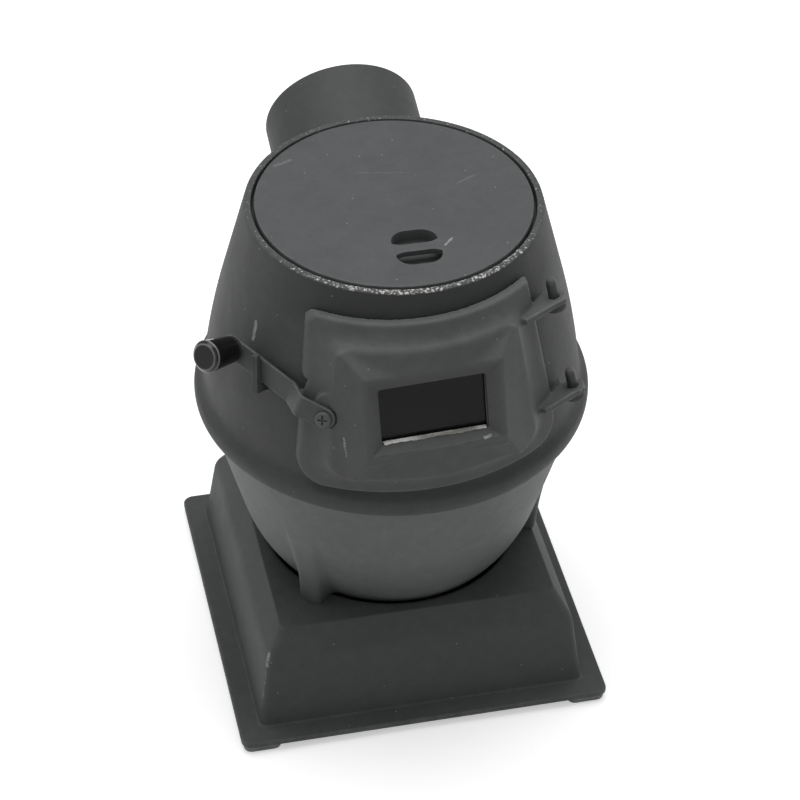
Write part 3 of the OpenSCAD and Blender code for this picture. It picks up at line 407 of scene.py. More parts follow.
def stove_paint(name, colour, rubbed, rough=0.62, grain_depth=0.6, scratches_and_highlights=(), rim=0.0, shaded_heights=()):
    """Matt stove paint on sand-cast grey iron. The moulding sand leaves a grain of about
    0.6 mm, drawn 1.3 mm so that it shows, over slow waves of the pattern. Handling rubs
    the paint to a dull graphite shine on the corners, and the hollows are painted darker
    as painted shade. Scratches show the iron under the paint, each with its strength last;
    the same pale lines also serve for painted highlights. Above the rim's height the lid
    has chipped the paint, and the wall's front below the rim is painted darker as painted
    shade. Between the two heights given, it is painted darker downwards as painted shade."""
    material, tree = new_material(name)
    place = add(tree, "ShaderNodeTexCoord").outputs["Object"]
    grain = noise(tree, place, 770.0, 3.0, 0.6)[0]
    cloud = noise(tree, place, 16.0, 5.0, 0.62)[0]
    smear = noise(tree, place, 95.0, 4.0, 0.7)
    edge = add(tree, "ShaderNodeAttribute", attribute_name="edge").outputs["Fac"]
    light = [min(1, part * 1.18) for part in shade(colour)[:3]] + [1]
    tone = blend(tree, ramp(tree, smear[0], 0.35, 0.75), shade(colour), light)
    value = ramp(tree, cloud, 0.3, 0.7, 0.89, 1.11)
    tone = add(tree, "ShaderNodeHueSaturation", {"Color": tone, "Value": value}).outputs[0]
    patchy = ramp(tree, smear[0], 0.4, 0.6, 0.25, 0.85)
    worn = reckon(tree, "MULTIPLY", ramp(tree, edge, 0.07, 0.34), patchy)
    tone = blend(tree, worn, tone, shade(rubbed))
    # Painted shade: where the edge attribute falls below zero, in hollows, the paint is darkened
    painted_shade = ramp(tree, edge, -0.22, -0.02, 0.66, 1.0)
    bare_iron_and_highlight = ramp(tree, spots(tree, place, 75.0), 0.055, 0.03, 0.0, 0.3)
    bent = add(tree, "ShaderNodeVectorMath", {
        0: smear["Color"], 1: (0.004, 0.004, 0.004), 2: place}, operation="MULTIPLY_ADD").outputs[0]
    bent = add(tree, "ShaderNodeVectorMath", {
        0: bent, 1: (0.002, 0.002, 0.002)}, operation="SUBTRACT").outputs[0]
    torn = ramp(tree, grain, 0.36, 0.5)
    # Pale lines for scratches, and for painted highlights where a piece asks for them
    for *line, strength in scratches_and_highlights:
        cut = reckon(tree, "MULTIPLY", line_mask(tree, bent, *line), torn)
        bare_iron_and_highlight = reckon(tree, "MAXIMUM", bare_iron_and_highlight, reckon(tree, "MULTIPLY", cut, strength))
    at = add(tree, "ShaderNodeSeparateXYZ", {0: place}).outputs
    # Painted shade and soot: darker downwards between the two heights given
    if shaded_heights:
        low_shade = ramp(tree, at["Z"], shaded_heights[0] / 1000, shaded_heights[1] / 1000, 0.35)
        painted_shade = reckon(tree, "MULTIPLY", low_shade, painted_shade)
    if rim:
        top = ramp(tree, at["Z"], rim / 1000, rim / 1000 + 0.0006)
        front = ramp(tree, at["Y"], -0.05, -0.1)
        needed = reckon(tree, "MULTIPLY_ADD", front, -0.09, 0.6)
        chips = reckon(tree, "SUBTRACT", noise(tree, place, 430.0, 5.0, 0.7)[0], needed)
        chips = reckon(tree, "MULTIPLY", ramp(tree, chips, 0.0, 0.09), top)
        bare_iron_and_highlight = reckon(tree, "MAXIMUM", bare_iron_and_highlight, chips)
        # Painted shade: the wall's front between the door and the rim is painted darker
        below = reckon(tree, "SUBTRACT", ramp(tree, at["Z"], 0.374, 0.39), top, clamp=True)
        smoke_and_shade = reckon(tree, "MULTIPLY", below, front)
        smoke_and_shade = reckon(tree, "MULTIPLY_ADD", smoke_and_shade, -0.45, 1.0)
        painted_shade = reckon(tree, "MULTIPLY", smoke_and_shade, painted_shade)
    tone = add(tree, "ShaderNodeHueSaturation", {"Color": tone, "Value": painted_shade}).outputs[0]
    relief = reckon(tree, "MULTIPLY_ADD", spots(tree, place, 330.0), 0.35, grain)
    fine = bump(tree, relief, grain_depth, 0.0003)
    dull = ramp(tree, cloud, 0.3, 0.7, rough - 0.07, rough + 0.07)
    end_material(tree, {
        "Base Color": blend(tree, bare_iron_and_highlight, tone, shade("d2d2cf")), "Specular IOR Level": 0.35,
        "Roughness": reckon(tree, "MULTIPLY_ADD", worn, -0.22, dull),
        "Normal": bump(tree, noise(tree, place, 28.0, 2.0)[0], 0.5, 0.002, fine)})
    return material


set_out, given = node_tree("set out copies", ("Places", "Geometry"), ("Copy", "Object"),
                           ("Material", "Material"))
copy_shape = add(set_out, "GeometryNodeObjectInfo", {"Object": given["Copy"]}).outputs["Geometry"]
turn = add(set_out, "GeometryNodeInputNamedAttribute", {"Name": "turn"}, data_type="FLOAT_VECTOR")
turn = add(set_out, "FunctionNodeEulerToRotation", {0: turn.outputs[0]}).outputs[0]
copies = add(set_out, "GeometryNodeInstanceOnPoints", {
    "Points": given["Places"], "Instance": copy_shape, "Rotation": turn})
end_tree(set_out, copies.outputs[0], given["Material"])


def copies_of(part, places, material):
    """The same part at each of several 4 by 4 places, set out by Geometry Nodes."""
    mesh = bpy.data.meshes.new("copy")
    mesh.from_pydata(np.asarray(part[0]).tolist(), [], [tuple(f) for f in part[1]])
    thing = bpy.data.objects.new("copy", mesh)
    bpy.context.scene.collection.objects.link(thing)
    result = run_tree(set_out, [p.translation for p in places],
                      attributes={"turn": [p.to_euler("XYZ") for p in places]},
                      Copy=thing, Material=material)
    bpy.data.objects.remove(thing)
    return result


def block(x, y, z, low, high, k):
    """Box between two corners, its edges rounded over k."""
    away = [np.maximum(a - c, c - b) for c, a, b in zip((x, y, z), low, high)]
    return far(far(away[0], away[1], k), away[2], k)


def from_local(matrix, x, y, z):
    """Points in a piece's own axes, in the axes of the frame."""
    m = np.array(matrix)
    return [m[i, 0] * x + m[i, 1] * y + m[i, 2] * z + m[i, 3] for i in range(3)]


def spin(z=0.0, x=0.0, y=0.0):
    """Turns in degrees about the piece's own Z, then its X, then its Y."""
    return (Matrix.Rotation(radians(z), 4, "Z") @ Matrix.Rotation(radians(x), 4, "X")
            @ Matrix.Rotation(radians(y), 4, "Y"))


def pot_r(z, inset=0.0):
    """Outside of the pot at height z: a cone over a bowl."""
    z = np.asarray(z, float)
    cone = 148.9 - inset / cos(radians(15.4)) - (242 - z) * tan(radians(15.4))
    bowl = -13.89 + np.sqrt(np.maximum((140 - inset) ** 2 - (178.18 - z) ** 2, 0))
    return np.where(z > 141, cone, bowl)


# Towards its foot the pot is painted darker, as painted shade and soot.
pot_paint = stove_paint("matt_grey_paint_on_fire_pot", "747776", "8c8e8d", shaded_heights=(92, 164))
pot_profile = (
    [(146.9, 242), (148.2, 241.7), (148.75, 241.1)]
    + [(float(pot_r(z)), z) for z in (240.5, 230, 220, 210, 200, 190, 180, 170, 160, 150, 141)]
    + [(float(pot_r(z)), z) for z in np.linspace(138, 66, 26)]
    + [(66.6, 64.6), (65.6, 64), (54.2, 64), (53.2, 65), (53.2, 69), (54.2, 70)]
    + [(float(pot_r(z, 6)), z) for z in np.linspace(70.5, 137, 24)]
    + [(float(pot_r(z, 6)), z) for z in (141, 170, 200, 229)]
    + [(139.5, 233), (139.5, 241.2), (140.3, 242)])


def pot_lug(x, y, z):
    """One of the three legs, and the strip of bowl that it grows out of."""
    bowl_gap = (np.hypot(x, y) - pot_r(z)) * 0.92 + 0.05
    leg = far(abs(x) - 9.5, -y - 119.45 - (z - 96) * 5.21 / 58, 5)
    grown = near(far(leg, z - 172, 2), bowl_gap, 8)
    grown = np.maximum(np.maximum(grown, 96 - z), -(bowl_gap + 3.5))
    return np.maximum(np.maximum(grown, np.maximum(abs(x) - 24, z - 180)), y + 60)


pot_lugs = copies_of(cast(pot_lug, (-26, -136, 93), (26, -92, 182), 1.3),
                     [Matrix.Rotation(radians(-44.5 + 120 * i), 4, "Z") for i in range(3)], pot_paint)
piece("fire_pot_casting", "stove", pot_paint,
      [turned(pot_profile, 192, pot_paint), pot_lugs], ["fire_pot"])


# ---- Grate and pot seal ----
# The grate is a bare cast disc with slots that lies on the pot's bottom ledge, scaled
# and greyed by the fire. The seal is woven glass rope pressed into the pot's rim.

bare_iron, tree = new_material("bare_cast_iron_heated")
# Burnt iron: blue-grey scale with rusty patches about 12 mm across, and no shine
place = add(tree, "ShaderNodeTexCoord").outputs["Object"]
rust = ramp(tree, noise(tree, place, 80.0, 5.0, 0.6)[0], 0.5, 0.68)
end_material(tree, {
    "Base Color": blend(tree, rust, shade("55565a"), shade("6a4c3a")), "Roughness": 0.82,
    "Normal": bump(tree, noise(tree, place, 420.0, 4.0)[0], 0.6, 0.0004)})


def coat(node, material):
    for place_for in node_object[node].material_slots:
        place_for.material = material


coat("grate", bare_iron)


def woven_glass(name, smoked, clean):
    """Knitted glass fibre: loops about 1.5 mm apart, off-white where smoke hasn't greyed it."""
    material, tree = new_material(name)
    place = add(tree, "ShaderNodeTexCoord").outputs["Object"]
    smoke_and_shade = ramp(tree, noise(tree, place, 45.0, 4.0)[0], 0.4, 0.58)
    end_material(tree, {
        "Base Color": blend(tree, smoke_and_shade, shade(smoked), shade(clean)), "Roughness": 0.93,
        "Specular IOR Level": 0.2, "Normal": bump(tree, spots(tree, place, 650.0, 0.6), 0.8, 0.0006)})
    return material


stove_rope = woven_glass("woven_glass_stove_rope", "8a857b", "b9b4a8")

lay_rope, given = node_tree("lay a rope in a ring", ("Strand", "Geometry"), ("Radius", "Float"),
                            ("Material", "Material"))
strand = add(lay_rope, "GeometryNodeMeshToCurve", {"Mesh": given["Strand"]}).outputs[0]
section = add(lay_rope, "GeometryNodeCurvePrimitiveCircle", {"Resolution": 8, "Radius": given["Radius"]})
strand = add(lay_rope, "GeometryNodeCurveToMesh", {"Curve": strand, "Profile Curve": section.outputs[0]})
end_tree(lay_rope, strand.outputs[0], given["Material"])


rope_steps, rope_twists = 1080, 90


def rope_strand(phase):
    """Closed strand that twists round the seal's middle."""
    turn_to = np.linspace(0, 2 * pi, rope_steps + 1)[:-1]
    twist = rope_twists * turn_to + phase
    out, up = 1.15 * np.cos(twist), 0.8 * np.sin(twist)
    points = np.stack([(144.2 + out) * np.cos(turn_to), (144.2 + out) * np.sin(turn_to), 241.15 + up], 1)
    return run_tree(lay_rope, points, [(i, (i + 1) % rope_steps) for i in range(rope_steps)],
                    Radius=0.83, Material=stove_rope)


piece("pot_seal_rope", "stove", stove_rope, [rope_strand(2 * pi * i / 3) for i in range(3)],
      ["pot_seal"])


# ---- Base ----
# Square hollow casting with a floor flange on four feet. Its walls lean in to a rounded
# shoulder, a bevel and a flat top plate with a round hole for the pot, and its right
# wall is open for the ash drawer. Same iron and matt paint as the rest, a shade darker.

def square_loop(half, corner, z, arc_steps=6, side_steps=24):
    """Rounded square at height z."""
    ring = []
    for q in range(4):
        cx = (half - corner) * (1 if q in (0, 3) else -1)
        cy = (half - corner) * (1 if q in (0, 1) else -1)
        for k in range(arc_steps + 1):
            a = (q + k / arc_steps) * pi / 2
            ring.append((cx + corner * cos(a), cy + corner * sin(a), z))
        tail = ring[-1]
        a = (q + 1) * pi / 2
        run = 2 * (half - corner)
        ring += [(tail[0] - sin(a) * run * k / side_steps, tail[1] + cos(a) * run * k / side_steps, z)
                 for k in range(1, side_steps)]
    return np.array(ring)


def round_loop(like, radius, z):
    """Circle whose points keep the bearings of another loop's points."""
    bearing = np.arctan2(like[:, 1], like[:, 0])
    return np.stack([radius * np.cos(bearing), radius * np.sin(bearing), np.full(len(like), z)], 1)


def loft(loops, ring=False):
    """Skin over a row of loops, closed by a flat cap at each end, or on itself."""
    n = len(loops[0])
    faces = []
    for i in range(len(loops) - (0 if ring else 1)):
        a, b = i * n, (i + 1) % len(loops) * n
        faces += [(a + k, a + (k + 1) % n, b + (k + 1) % n, b + k) for k in range(n)]
    if not ring:
        faces += [tuple(range(n))[::-1], tuple(range((len(loops) - 1) * n, len(loops) * n))]
    return np.vstack(loops), faces


def less(part, cutters):
    """A part with others cut away from it."""
    things = []
    for points, faces in [part] + cutters:
        mesh = bpy.data.meshes.new("cutting")
        mesh.from_pydata(np.asarray(points).tolist(), [], faces)
        face_outwards(mesh)
        things.append(bpy.data.objects.new("cutting", mesh))
        bpy.context.scene.collection.objects.link(things[-1])
    for tool in things[1:]:
        saw = things[0].modifiers.new("saw", "BOOLEAN")
        saw.operation, saw.solver, saw.object = "DIFFERENCE", "EXACT", tool
    result = as_arrays(things[0])
    for thing in things:
        bpy.data.objects.remove(thing)
    return result


def plain_box(low, high):
    corners = np.array(list(product(*zip(low, high))), float)
    return corners, [(0, 1, 3, 2), (4, 6, 7, 5), (0, 4, 5, 1), (2, 3, 7, 6), (0, 2, 6, 4), (1, 5, 7, 3)]


wall_lean = 7.25  # degrees, of the base's walls
base_side = eased([(140, 11), (132.5, 11), (124.74, 72), (111, 96), (100, 96)], [0, 1.5, 30, 1.5, 0], 8,
                  closed=False)
wall_rows = np.linspace(base_side[9], base_side[10], 8)[1:-1].tolist()
outer = [square_loop(half, 6, z) for half, z in base_side[1:10] + wall_rows + base_side[10:-1]]
inner = [square_loop(half, 3, z) for half, z in
         eased([(108.1, 91), (119.91, 70.36), (127.46, 11)], [0, 25, 0], 8, closed=False)]
hole = [round_loop(outer[-1], r, z) for r, z in (
    (105.6, 96), (103.8, 95.9), (102.5, 95.4), (101.8, 94.3), (102, 92.8), (103, 91))]
base_shell = less(loft(outer + hole + inner, ring=True), [plain_box((85, -77, 10), (170, 77, 60))])
flange_plate = loft([square_loop(149.2, 7.5, 6), square_loop(150, 8, 6.8), square_loop(150, 8, 9.8),
                     square_loop(149.6, 8, 10.6), square_loop(148.8, 7.5, 11), square_loop(147.6, 7, 11)])
# Both lines down the front left corner are painted highlight along its edge, drawn as pale marks.
base_paint = stove_paint("matt_grey_paint_on_base", "484a4a", "7b7d7d", 0.66,
                         scratches_and_highlights=[((-122.6, -117.2, 76), (-124, -121.4, 68), 2.8, 0.45),
                                    ((-125, -121.6, 62), (-128.6, -125.8, 32), 1.2, 0.25)])
foot_paint = stove_paint("scuffed_grey_paint_on_feet", "6d6f6f", "9d9e9d", 0.7)
foot = loft([square_loop(14.6, 5.6, 0, 4, 2), square_loop(15, 6, 0.6, 4, 2), square_loop(15, 6, 7, 4, 2)])
foot_places = [Matrix.Translation((133 * a, 133 * b, 0)) for a, b in product((-1, 1), repeat=2)]
runners = [plain_box((-78, 77, 10.5), (127, 81, 19)), plain_box((-78, -81, 10.5), (127, -77, 19)),
           plain_box((-82.3, -38.5, 10.5), (-78.3, 38.5, 19))]
piece("base_casting", "stove", base_paint, [base_shell, flange_plate] + runners, ["base"])
piece("base_feet", "stove", foot_paint, [copies_of(foot, foot_places, foot_paint)])


# ---- Barrel ----
# Tapering casting that stands on the pot: a cone that swells to a belly, a bead that
# hangs over the joint, a narrow ring and ledge at the top for the lid, two hinge lugs,
# the keeper that holds the latch bar and a flat seat for the flue collar.

wall_t = 5.65
cone_lean = 14.7  # degrees; the flue's seat is square to the cone, and the hinge lies along it
cone_foot = 112.5 + 72 * tan(radians(cone_lean))
belly_lean = 2 * atan((146.8 - cone_foot) / 82) - radians(cone_lean)
belly_arc = 82 / (sin(radians(cone_lean)) - sin(belly_lean))
belly_x = 146.8 - belly_arc * cos(belly_lean)
belly_z = 262 - belly_arc * sin(belly_lean)


def barrel_r(z):
    """Outside of the barrel at height z: a cone over a slow curve."""
    z = np.asarray(z, float)
    curve = np.sqrt(np.maximum(belly_arc ** 2 - (z - belly_z) ** 2, 0)) + belly_x
    return np.where(z > 344, 112.5 + (416 - z) * tan(radians(cone_lean)), curve)


bead = [(151 + 4 * cos(a), 243.5 + 8.5 * sin(a)) for a in np.radians(np.linspace(50, -90, 14))]
barrel_profile = (
    [(110.2, 416), (111.6, 415.9), (112.35, 415.5), (112.8, 414.6)]
    + [(float(barrel_r(z)), z) for z in (411, 400, 390, 380, 370, 360, 352, 345)]
    + [(float(barrel_r(z)), z) for z in np.linspace(342, 262, 26)]
    + [(147.1, 260.2), (147.6, 258), (148.5, 255.6), (149.8, 253.5), (151.9, 251.6)] + bead
    + [(149.9, 235.1), (149.6, 235.6), (149.6, 242.8), (141.3, 242.8)]
    + [(float(barrel_r(z)) - wall_t, z) for z in np.linspace(246, 342, 16)]
    + [(float(barrel_r(z)) - wall_t, z) for z in (345, 360, 375, 390)]
    + [(99.4, 402.1), (99, 402.6), (99, 407.6), (99.5, 408.1), (106.9, 408.1), (107.5, 408.7),
       (107.5, 415.1), (107.9, 415.8), (108.7, 416)])
# With the rim set, the wall's front between the door and the rim is also painted darker as painted shade.
barrel_paint = stove_paint("matt_grey_paint_on_barrel", "454746", "787b7a", rim=414.6,
                           scratches_and_highlights=[((-115.6, -53.1, 359.7), (-118.6, -55.5, 345.8), 2.2, 0.5)])
opening_rim = eased([(-72, 278), (72, 278), (72, 382), (-72, 382)], 10, 6)
fuel_opening = loft([np.array([(x, y, z) for x, z in opening_rim]) for y in (-190, -40)])
on_flue = Matrix.Translation((0, 0, 306)) @ spin(x=cone_lean - 90)
flue_bore, flue_outside, bolt_reach = 57, 62, 76
around = np.linspace(0, 2 * pi, 97)[:-1]
bore = moved(loft([np.array([(flue_bore * cos(a), flue_bore * sin(a), z) for a in around])
                   for z in (60, 190)]), on_flue)
barrel_shell = less(turned(barrel_profile, 256, barrel_paint), [fuel_opening, bore])

on_hinge = (Matrix.Rotation(radians(47.5), 4, "Z")
            @ Matrix.Translation((0, -float(barrel_r(304)) - 17, 304)) @ spin(x=-cone_lean))
pin_heights = (0, 79.6)
bar_droop, bar_bend = 17.5, 22.3  # degrees
on_latch = (Matrix.Rotation(radians(-31.4), 4, "Z")
            @ Matrix.Translation((0, -float(barrel_r(325)) - 18.2, 325)) @ spin(z=4.1, x=-15.6, y=bar_droop))
bar_fold = (-32.5, 14.5)
on_bar_end = on_latch @ Matrix.Translation((*bar_fold, 0)) @ spin(z=-bar_bend)


def off_barrel(x, y, z):
    return (np.hypot(x, y) - barrel_r(z)) * 0.97


def grown_on_barrel(form, place, low, high, step, fillet):
    """Skin of a form cast on the barrel, with the patch of wall that it grows out of."""
    def whole(x, y, z):
        wall = off_barrel(*from_local(place, x, y, z)) + 0.05
        grown = np.maximum(near(form(x, y, z), wall, fillet), -(wall + 3.5))
        return np.maximum(grown, block(x, y, z, np.array(low) + 1.5, np.array(high) - 1.5, 0.1))
    return moved(cast(whole, low, high, step), place)


def hinge_lug(x, y, z):
    tongue = np.hypot(x, np.minimum(y, 0)) - 8 + np.clip(y / 8, 0, 1)
    return np.maximum(far(tongue, abs(z + 8.25) - 2.75, 1.6), 4.05 - np.hypot(x, y))


def keeper(x, y, z):
    """Rib from the wall under the bar, with a finger that stands upright in front."""
    lean = radians(26.6)
    up = z * cos(lean) - (x + 31) * sin(lean)
    across = z * sin(lean) + (x + 31) * cos(lean)
    rib = block(across, y, up, (-2.6, -6.4, -17.5), (2.6, 60, -12.2), 1.0)
    finger = block(across, y, up, (-2.6, -6.4, -17.5), (2.6, -1.1, 11), 1.0)
    return near(rib, finger, 1.5)


def flue_outline(x, y):
    return near(np.hypot(x, y) - 70, np.hypot(abs(x) - bolt_reach, y) - 9, 4)


def flue_seat(x, y, z):
    """Flat seat for the collar, and the wall that runs out to it."""
    world = from_local(on_flue, x, y, z)
    wall = off_barrel(*world) + 0.05
    grown = near(far(flue_outline(x, y), z - 136.6, 1.2), wall, 6)
    grown = np.maximum(np.maximum(grown, -(wall + 3.5)), flue_bore - np.hypot(x, y))
    return np.maximum(np.maximum(grown, np.hypot(x / 1.12, y) - 84), world[2] - 414.4)


hinge_lugs = [grown_on_barrel(hinge_lug, on_hinge @ Matrix.Translation((0, 0, up)),
                              (-17, -11, -20), (17, 32, 4), 0.8, 5) for up in pin_heights]
piece("barrel_casting", "stove", barrel_paint,
      [barrel_shell] + hinge_lugs
      + [grown_on_barrel(keeper, on_bar_end, (-48, -10, -27), (-16, 32, 16), 0.7, 3),
         moved(cast(flue_seat, (-98, -88, 84), (98, 88, 139), 1.8), on_flue)],
      ["barrel"])


# ---- Lid ----
# Flat round plate that lies on the ledge, with a lift pocket cast into it. A bar flush
# with the top crosses the pocket, flared at its ends, for the hook that lifts the lid.

pocket_at = np.array([4.3, -59.1])
lid_points = 160
lid_turn = np.linspace(0, 2 * pi, lid_points + 1)[:-1]


def pocket_loop(grow, z):
    """Outline of the pocket, grown, with a point on the way to each point of the rim."""
    rim = 105.1 * np.stack([np.cos(lid_turn), np.sin(lid_turn)], 1) - pocket_at
    rim /= np.linalg.norm(rim, axis=1)[:, None]
    near_by, far_off = np.zeros(lid_points), np.full(lid_points, 60.0)
    for _ in range(40):
        at = (near_by + far_off) / 2
        q = abs(rim * at[:, None]) - np.array([17.3 - 12, 20.4 - 12])
        outside = np.hypot(*np.maximum(q, 0).T) + np.minimum(q.max(1), 0) > 12 + grow
        near_by, far_off = np.where(outside, near_by, at), np.where(outside, at, far_off)
    flat = pocket_at + rim * near_by[:, None]
    return np.column_stack([flat, np.full(lid_points, z)])


def rim_loop(radius, z):
    return np.stack([radius * np.cos(lid_turn), radius * np.sin(lid_turn), np.full(lid_points, z)], 1)


lid_top = 416.4
lid_plate = loft(
    [pocket_loop(grow, z) for grow, z in (
        (-4.5, 404.4), (-3, 404.5), (-1.3, 405.1), (-0.3, 406.3), (0, 408), (0, 415.7), (0.15, 416.2),
        (0.5, lid_top), (1.5, lid_top), (2.6, lid_top))]
    + [rim_loop(r, z) for r, z in (
        (102.6, lid_top), (103.9, lid_top), (104.7, 416.1), (105.1, 415.3), (105.1, 409.4), (104.7, 408.7),
        (104, 408.4))]
    + [pocket_loop(grow, z) for grow, z in (
        (5, 408.4), (3.8, 408), (3.5, 407), (3.5, 402.4), (3, 401.3), (1.8, 400.9))])


def lift_bar(x, y, z):
    flare = 4.5 + 3.2 * np.clip((abs(x) - 9) / 9, 0, 1) ** 2
    return far(far(abs(y) - flare, abs(z + 2.5) - 2.48, 0.6), abs(x) - 19, 0.5)


lid_scratches = [((25, -61.5), (31.9, -54.2), 1.1, 0.45), ((-79.3, 60.7), (-66.7, 66.1), 2.2, 0.12),
                 ((-21, 40), (14, 33), 0.7, 0.1), ((52, 12), (66, 20), 1.5, 0.08)]
lid_paint = stove_paint("matt_grey_paint_on_lid", "4d4e4f", "7c7d7d", 0.6, scratches_and_highlights=[
    ((*start, lid_top), (*end, lid_top), width, strength) for start, end, width, strength in lid_scratches])
bar_in_pocket = moved(cast(lift_bar, (-20, -9, -6), (20, 9, 1), 0.6),
                      Matrix.Translation((*pocket_at, lid_top)))
piece("lid_casting", "lid", lid_paint, [lid_plate, bar_in_pocket], ["lid"])


# ---- Flue collar ----
# Cast stub for the stove pipe, tilted up at the back, with a flange that two hexagon
# bolts hold to the barrel's seat over a thin gasket of woven glass tape.

collar_foot, flange_front, collar_end = 137.6, 141.6, 206


def collar_flange(x, y, z):
    tube = np.hypot(x, y) - flue_outside + 0.05
    grown = near(block(flue_outline(x, y), 0, z, (-200, -1, collar_foot), (0, 1, flange_front), 1.2), tube, 5)
    grown = np.maximum(np.maximum(grown, -(tube + 3.5)), collar_foot - z)
    return np.maximum(grown, z - 152)


collar_paint = stove_paint("matt_grey_paint_on_flue_collar", "434544", "6f7170")
collar_profile = (
    [(flue_bore, collar_foot)] + [(flue_outside, z) for z in (collar_foot, 150, 165, 185, collar_end - 1.2)]
    + [(61.8, collar_end - 0.4), (61.2, collar_end), (57.8, collar_end), (57.2, collar_end - 0.4)]
    + [(flue_bore, z) for z in (collar_end - 1.2, 185, 160)])
piece("flue_collar_casting", "stove", collar_paint,
      [moved(turned(collar_profile, 160, collar_paint), on_flue),
       moved(cast(collar_flange, (-90, -76, 136), (90, 76, 154), 1.2), on_flue)], ["flue_collar"])
coat("collar_gasket", stove_rope)

machine_steel, tree = new_material("zinc_plated_steel")
# Bright plating gone dull: fine turning marks about 0.25 mm apart, drawn 0.5 mm
place = add(tree, "ShaderNodeTexCoord").outputs["Object"]
dulled = noise(tree, place, 160.0, 4.0)[0]
end_material(tree, {
    "Base Color": blend(tree, dulled, shade("8d8e8f"), shade("b3b4b4")), "Metallic": 1.0,
    "Roughness": ramp(tree, dulled, 0.0, 1.0, 0.24, 0.5),
    "Normal": bump(tree, noise(tree, place, 2000.0, 2.0)[0], 0.25, 0.0001)})


def hex_head(x, y, z):
    slanted = np.maximum(abs(0.5 * y + 0.866 * x), abs(0.5 * y - 0.866 * x))
    flats = np.maximum(abs(y), slanted) - 4.93
    return np.maximum(far(flats, block(0, 0, z, (-1, -1, 0), (1, 1, 4), 0.1), 0.4),
                      0.8 * (np.hypot(x, y) + z - 9.0))


bolt = cast(hex_head, (-6.6, -6.6, -0.6), (6.6, 6.6, 4.6), 0.4)
shank = turned([(0.02, -15), (2.4, -15), (3, -14.4), (3, 0.5), (0.02, 0.5)], 24, machine_steel)
bolt_places = [on_flue @ Matrix.Translation((bolt_reach * side, 0, flange_front)) for side in (-1, 1)]
piece("flue_bolt_heads", "stove", machine_steel,
      [copies_of(bolt, bolt_places, machine_steel),
       copies_of(shank, bolt_places, machine_steel)], ["flue_bolts"])


# ---- Door ----
# One casting that follows the barrel: a flange, a raised panel with a hollow back, and a
# flat frame with a bevel sunk in it for the window. Two ears take the hinge pins, and a
# boss at the left carries the latch.

on_door = Matrix.Translation((0, 0, 330)) @ Matrix.Rotation(radians(-2), 4, "Y")
on_window = Matrix.Translation((0, -147, 333)) @ spin(x=-13.8) @ Matrix.Rotation(radians(-2), 4, "Y")


def to_local(matrix, x, y, z):
    return from_local(matrix.inverted(), x, y, z)


def tapered_plate(x, z, w_bottom, w_top, height, radii):
    """Trapezoid with a radius for each corner: low left, low right, top right, top left."""
    lean = (w_bottom - w_top) / 2 / height
    across = (abs(x) - (w_bottom + w_top) / 4 + z * lean) / hypot(1, lean)
    along = abs(z) - height / 2
    r = np.where(z < 0, np.where(x < 0, radii[0], radii[1]), np.where(x < 0, radii[3], radii[2]))
    a, b = across + r, along + r
    return np.hypot(np.maximum(a, 0), np.maximum(b, 0)) + np.minimum(np.maximum(a, b), 0) - r


def raised_frame(x, y, z):
    """Flat front with sides that fall away to the curved panel."""
    sides = ((abs(x) - 52) * 18.5 - y * 23) / hypot(18.5, 23)
    top = ((z - 32) * 9.7 - y * 16.5) / hypot(9.7, 16.5)
    bottom = ((-z - 32) * 9.7 - y * 21.45) / hypot(9.7, 21.45)
    return far(far(-y, sides, 0.8), far(top, bottom, 0.8), 0.8)


def window_recess(x, y, z):
    """Bevel from the frame's front to the window, the window, and the glass's seat."""
    sides = (abs(x) - 50 + 1.439 * y) / hypot(1, 1.439)
    top = (z - 30 + 1.545 * y) / hypot(1, 1.545)
    bottom = (-z - 30 + 0.606 * y) / hypot(1, 0.606)
    bevel = np.maximum(far(far(sides, top, 0.8), bottom, 0.8), y - 6.6)
    pane = np.maximum(far(abs(x) - 40.5, abs(z + 3.1) - 22.9, 3), y - 30)
    seat = block(x, y, z + 3.1, (-45.6, 11.6, -28), (45.6, 30, 28), 0.6)
    behind = block(x, y, z + 3.1, (-53.6, 17.1, -36), (53.6, 60, 36), 0.6)
    return np.minimum(np.minimum(bevel, pane), np.minimum(seat, behind))


def ear(x, y, z):
    neck = np.maximum((-11.5 * (x + 3.1) - 26.9 * (y + 8.5)) / 29.25, y - 12)
    neck = np.maximum(np.maximum(neck, x), -34 - x)
    return far(near(np.hypot(x, y) - 9, neck, 3), abs(z + 2.5) - 2.5, 1.3)


def latch_boss(x, y, z):
    return far(np.hypot(x, z - np.clip(z, 0, 9)) - 9, 4.45 - y, 1)


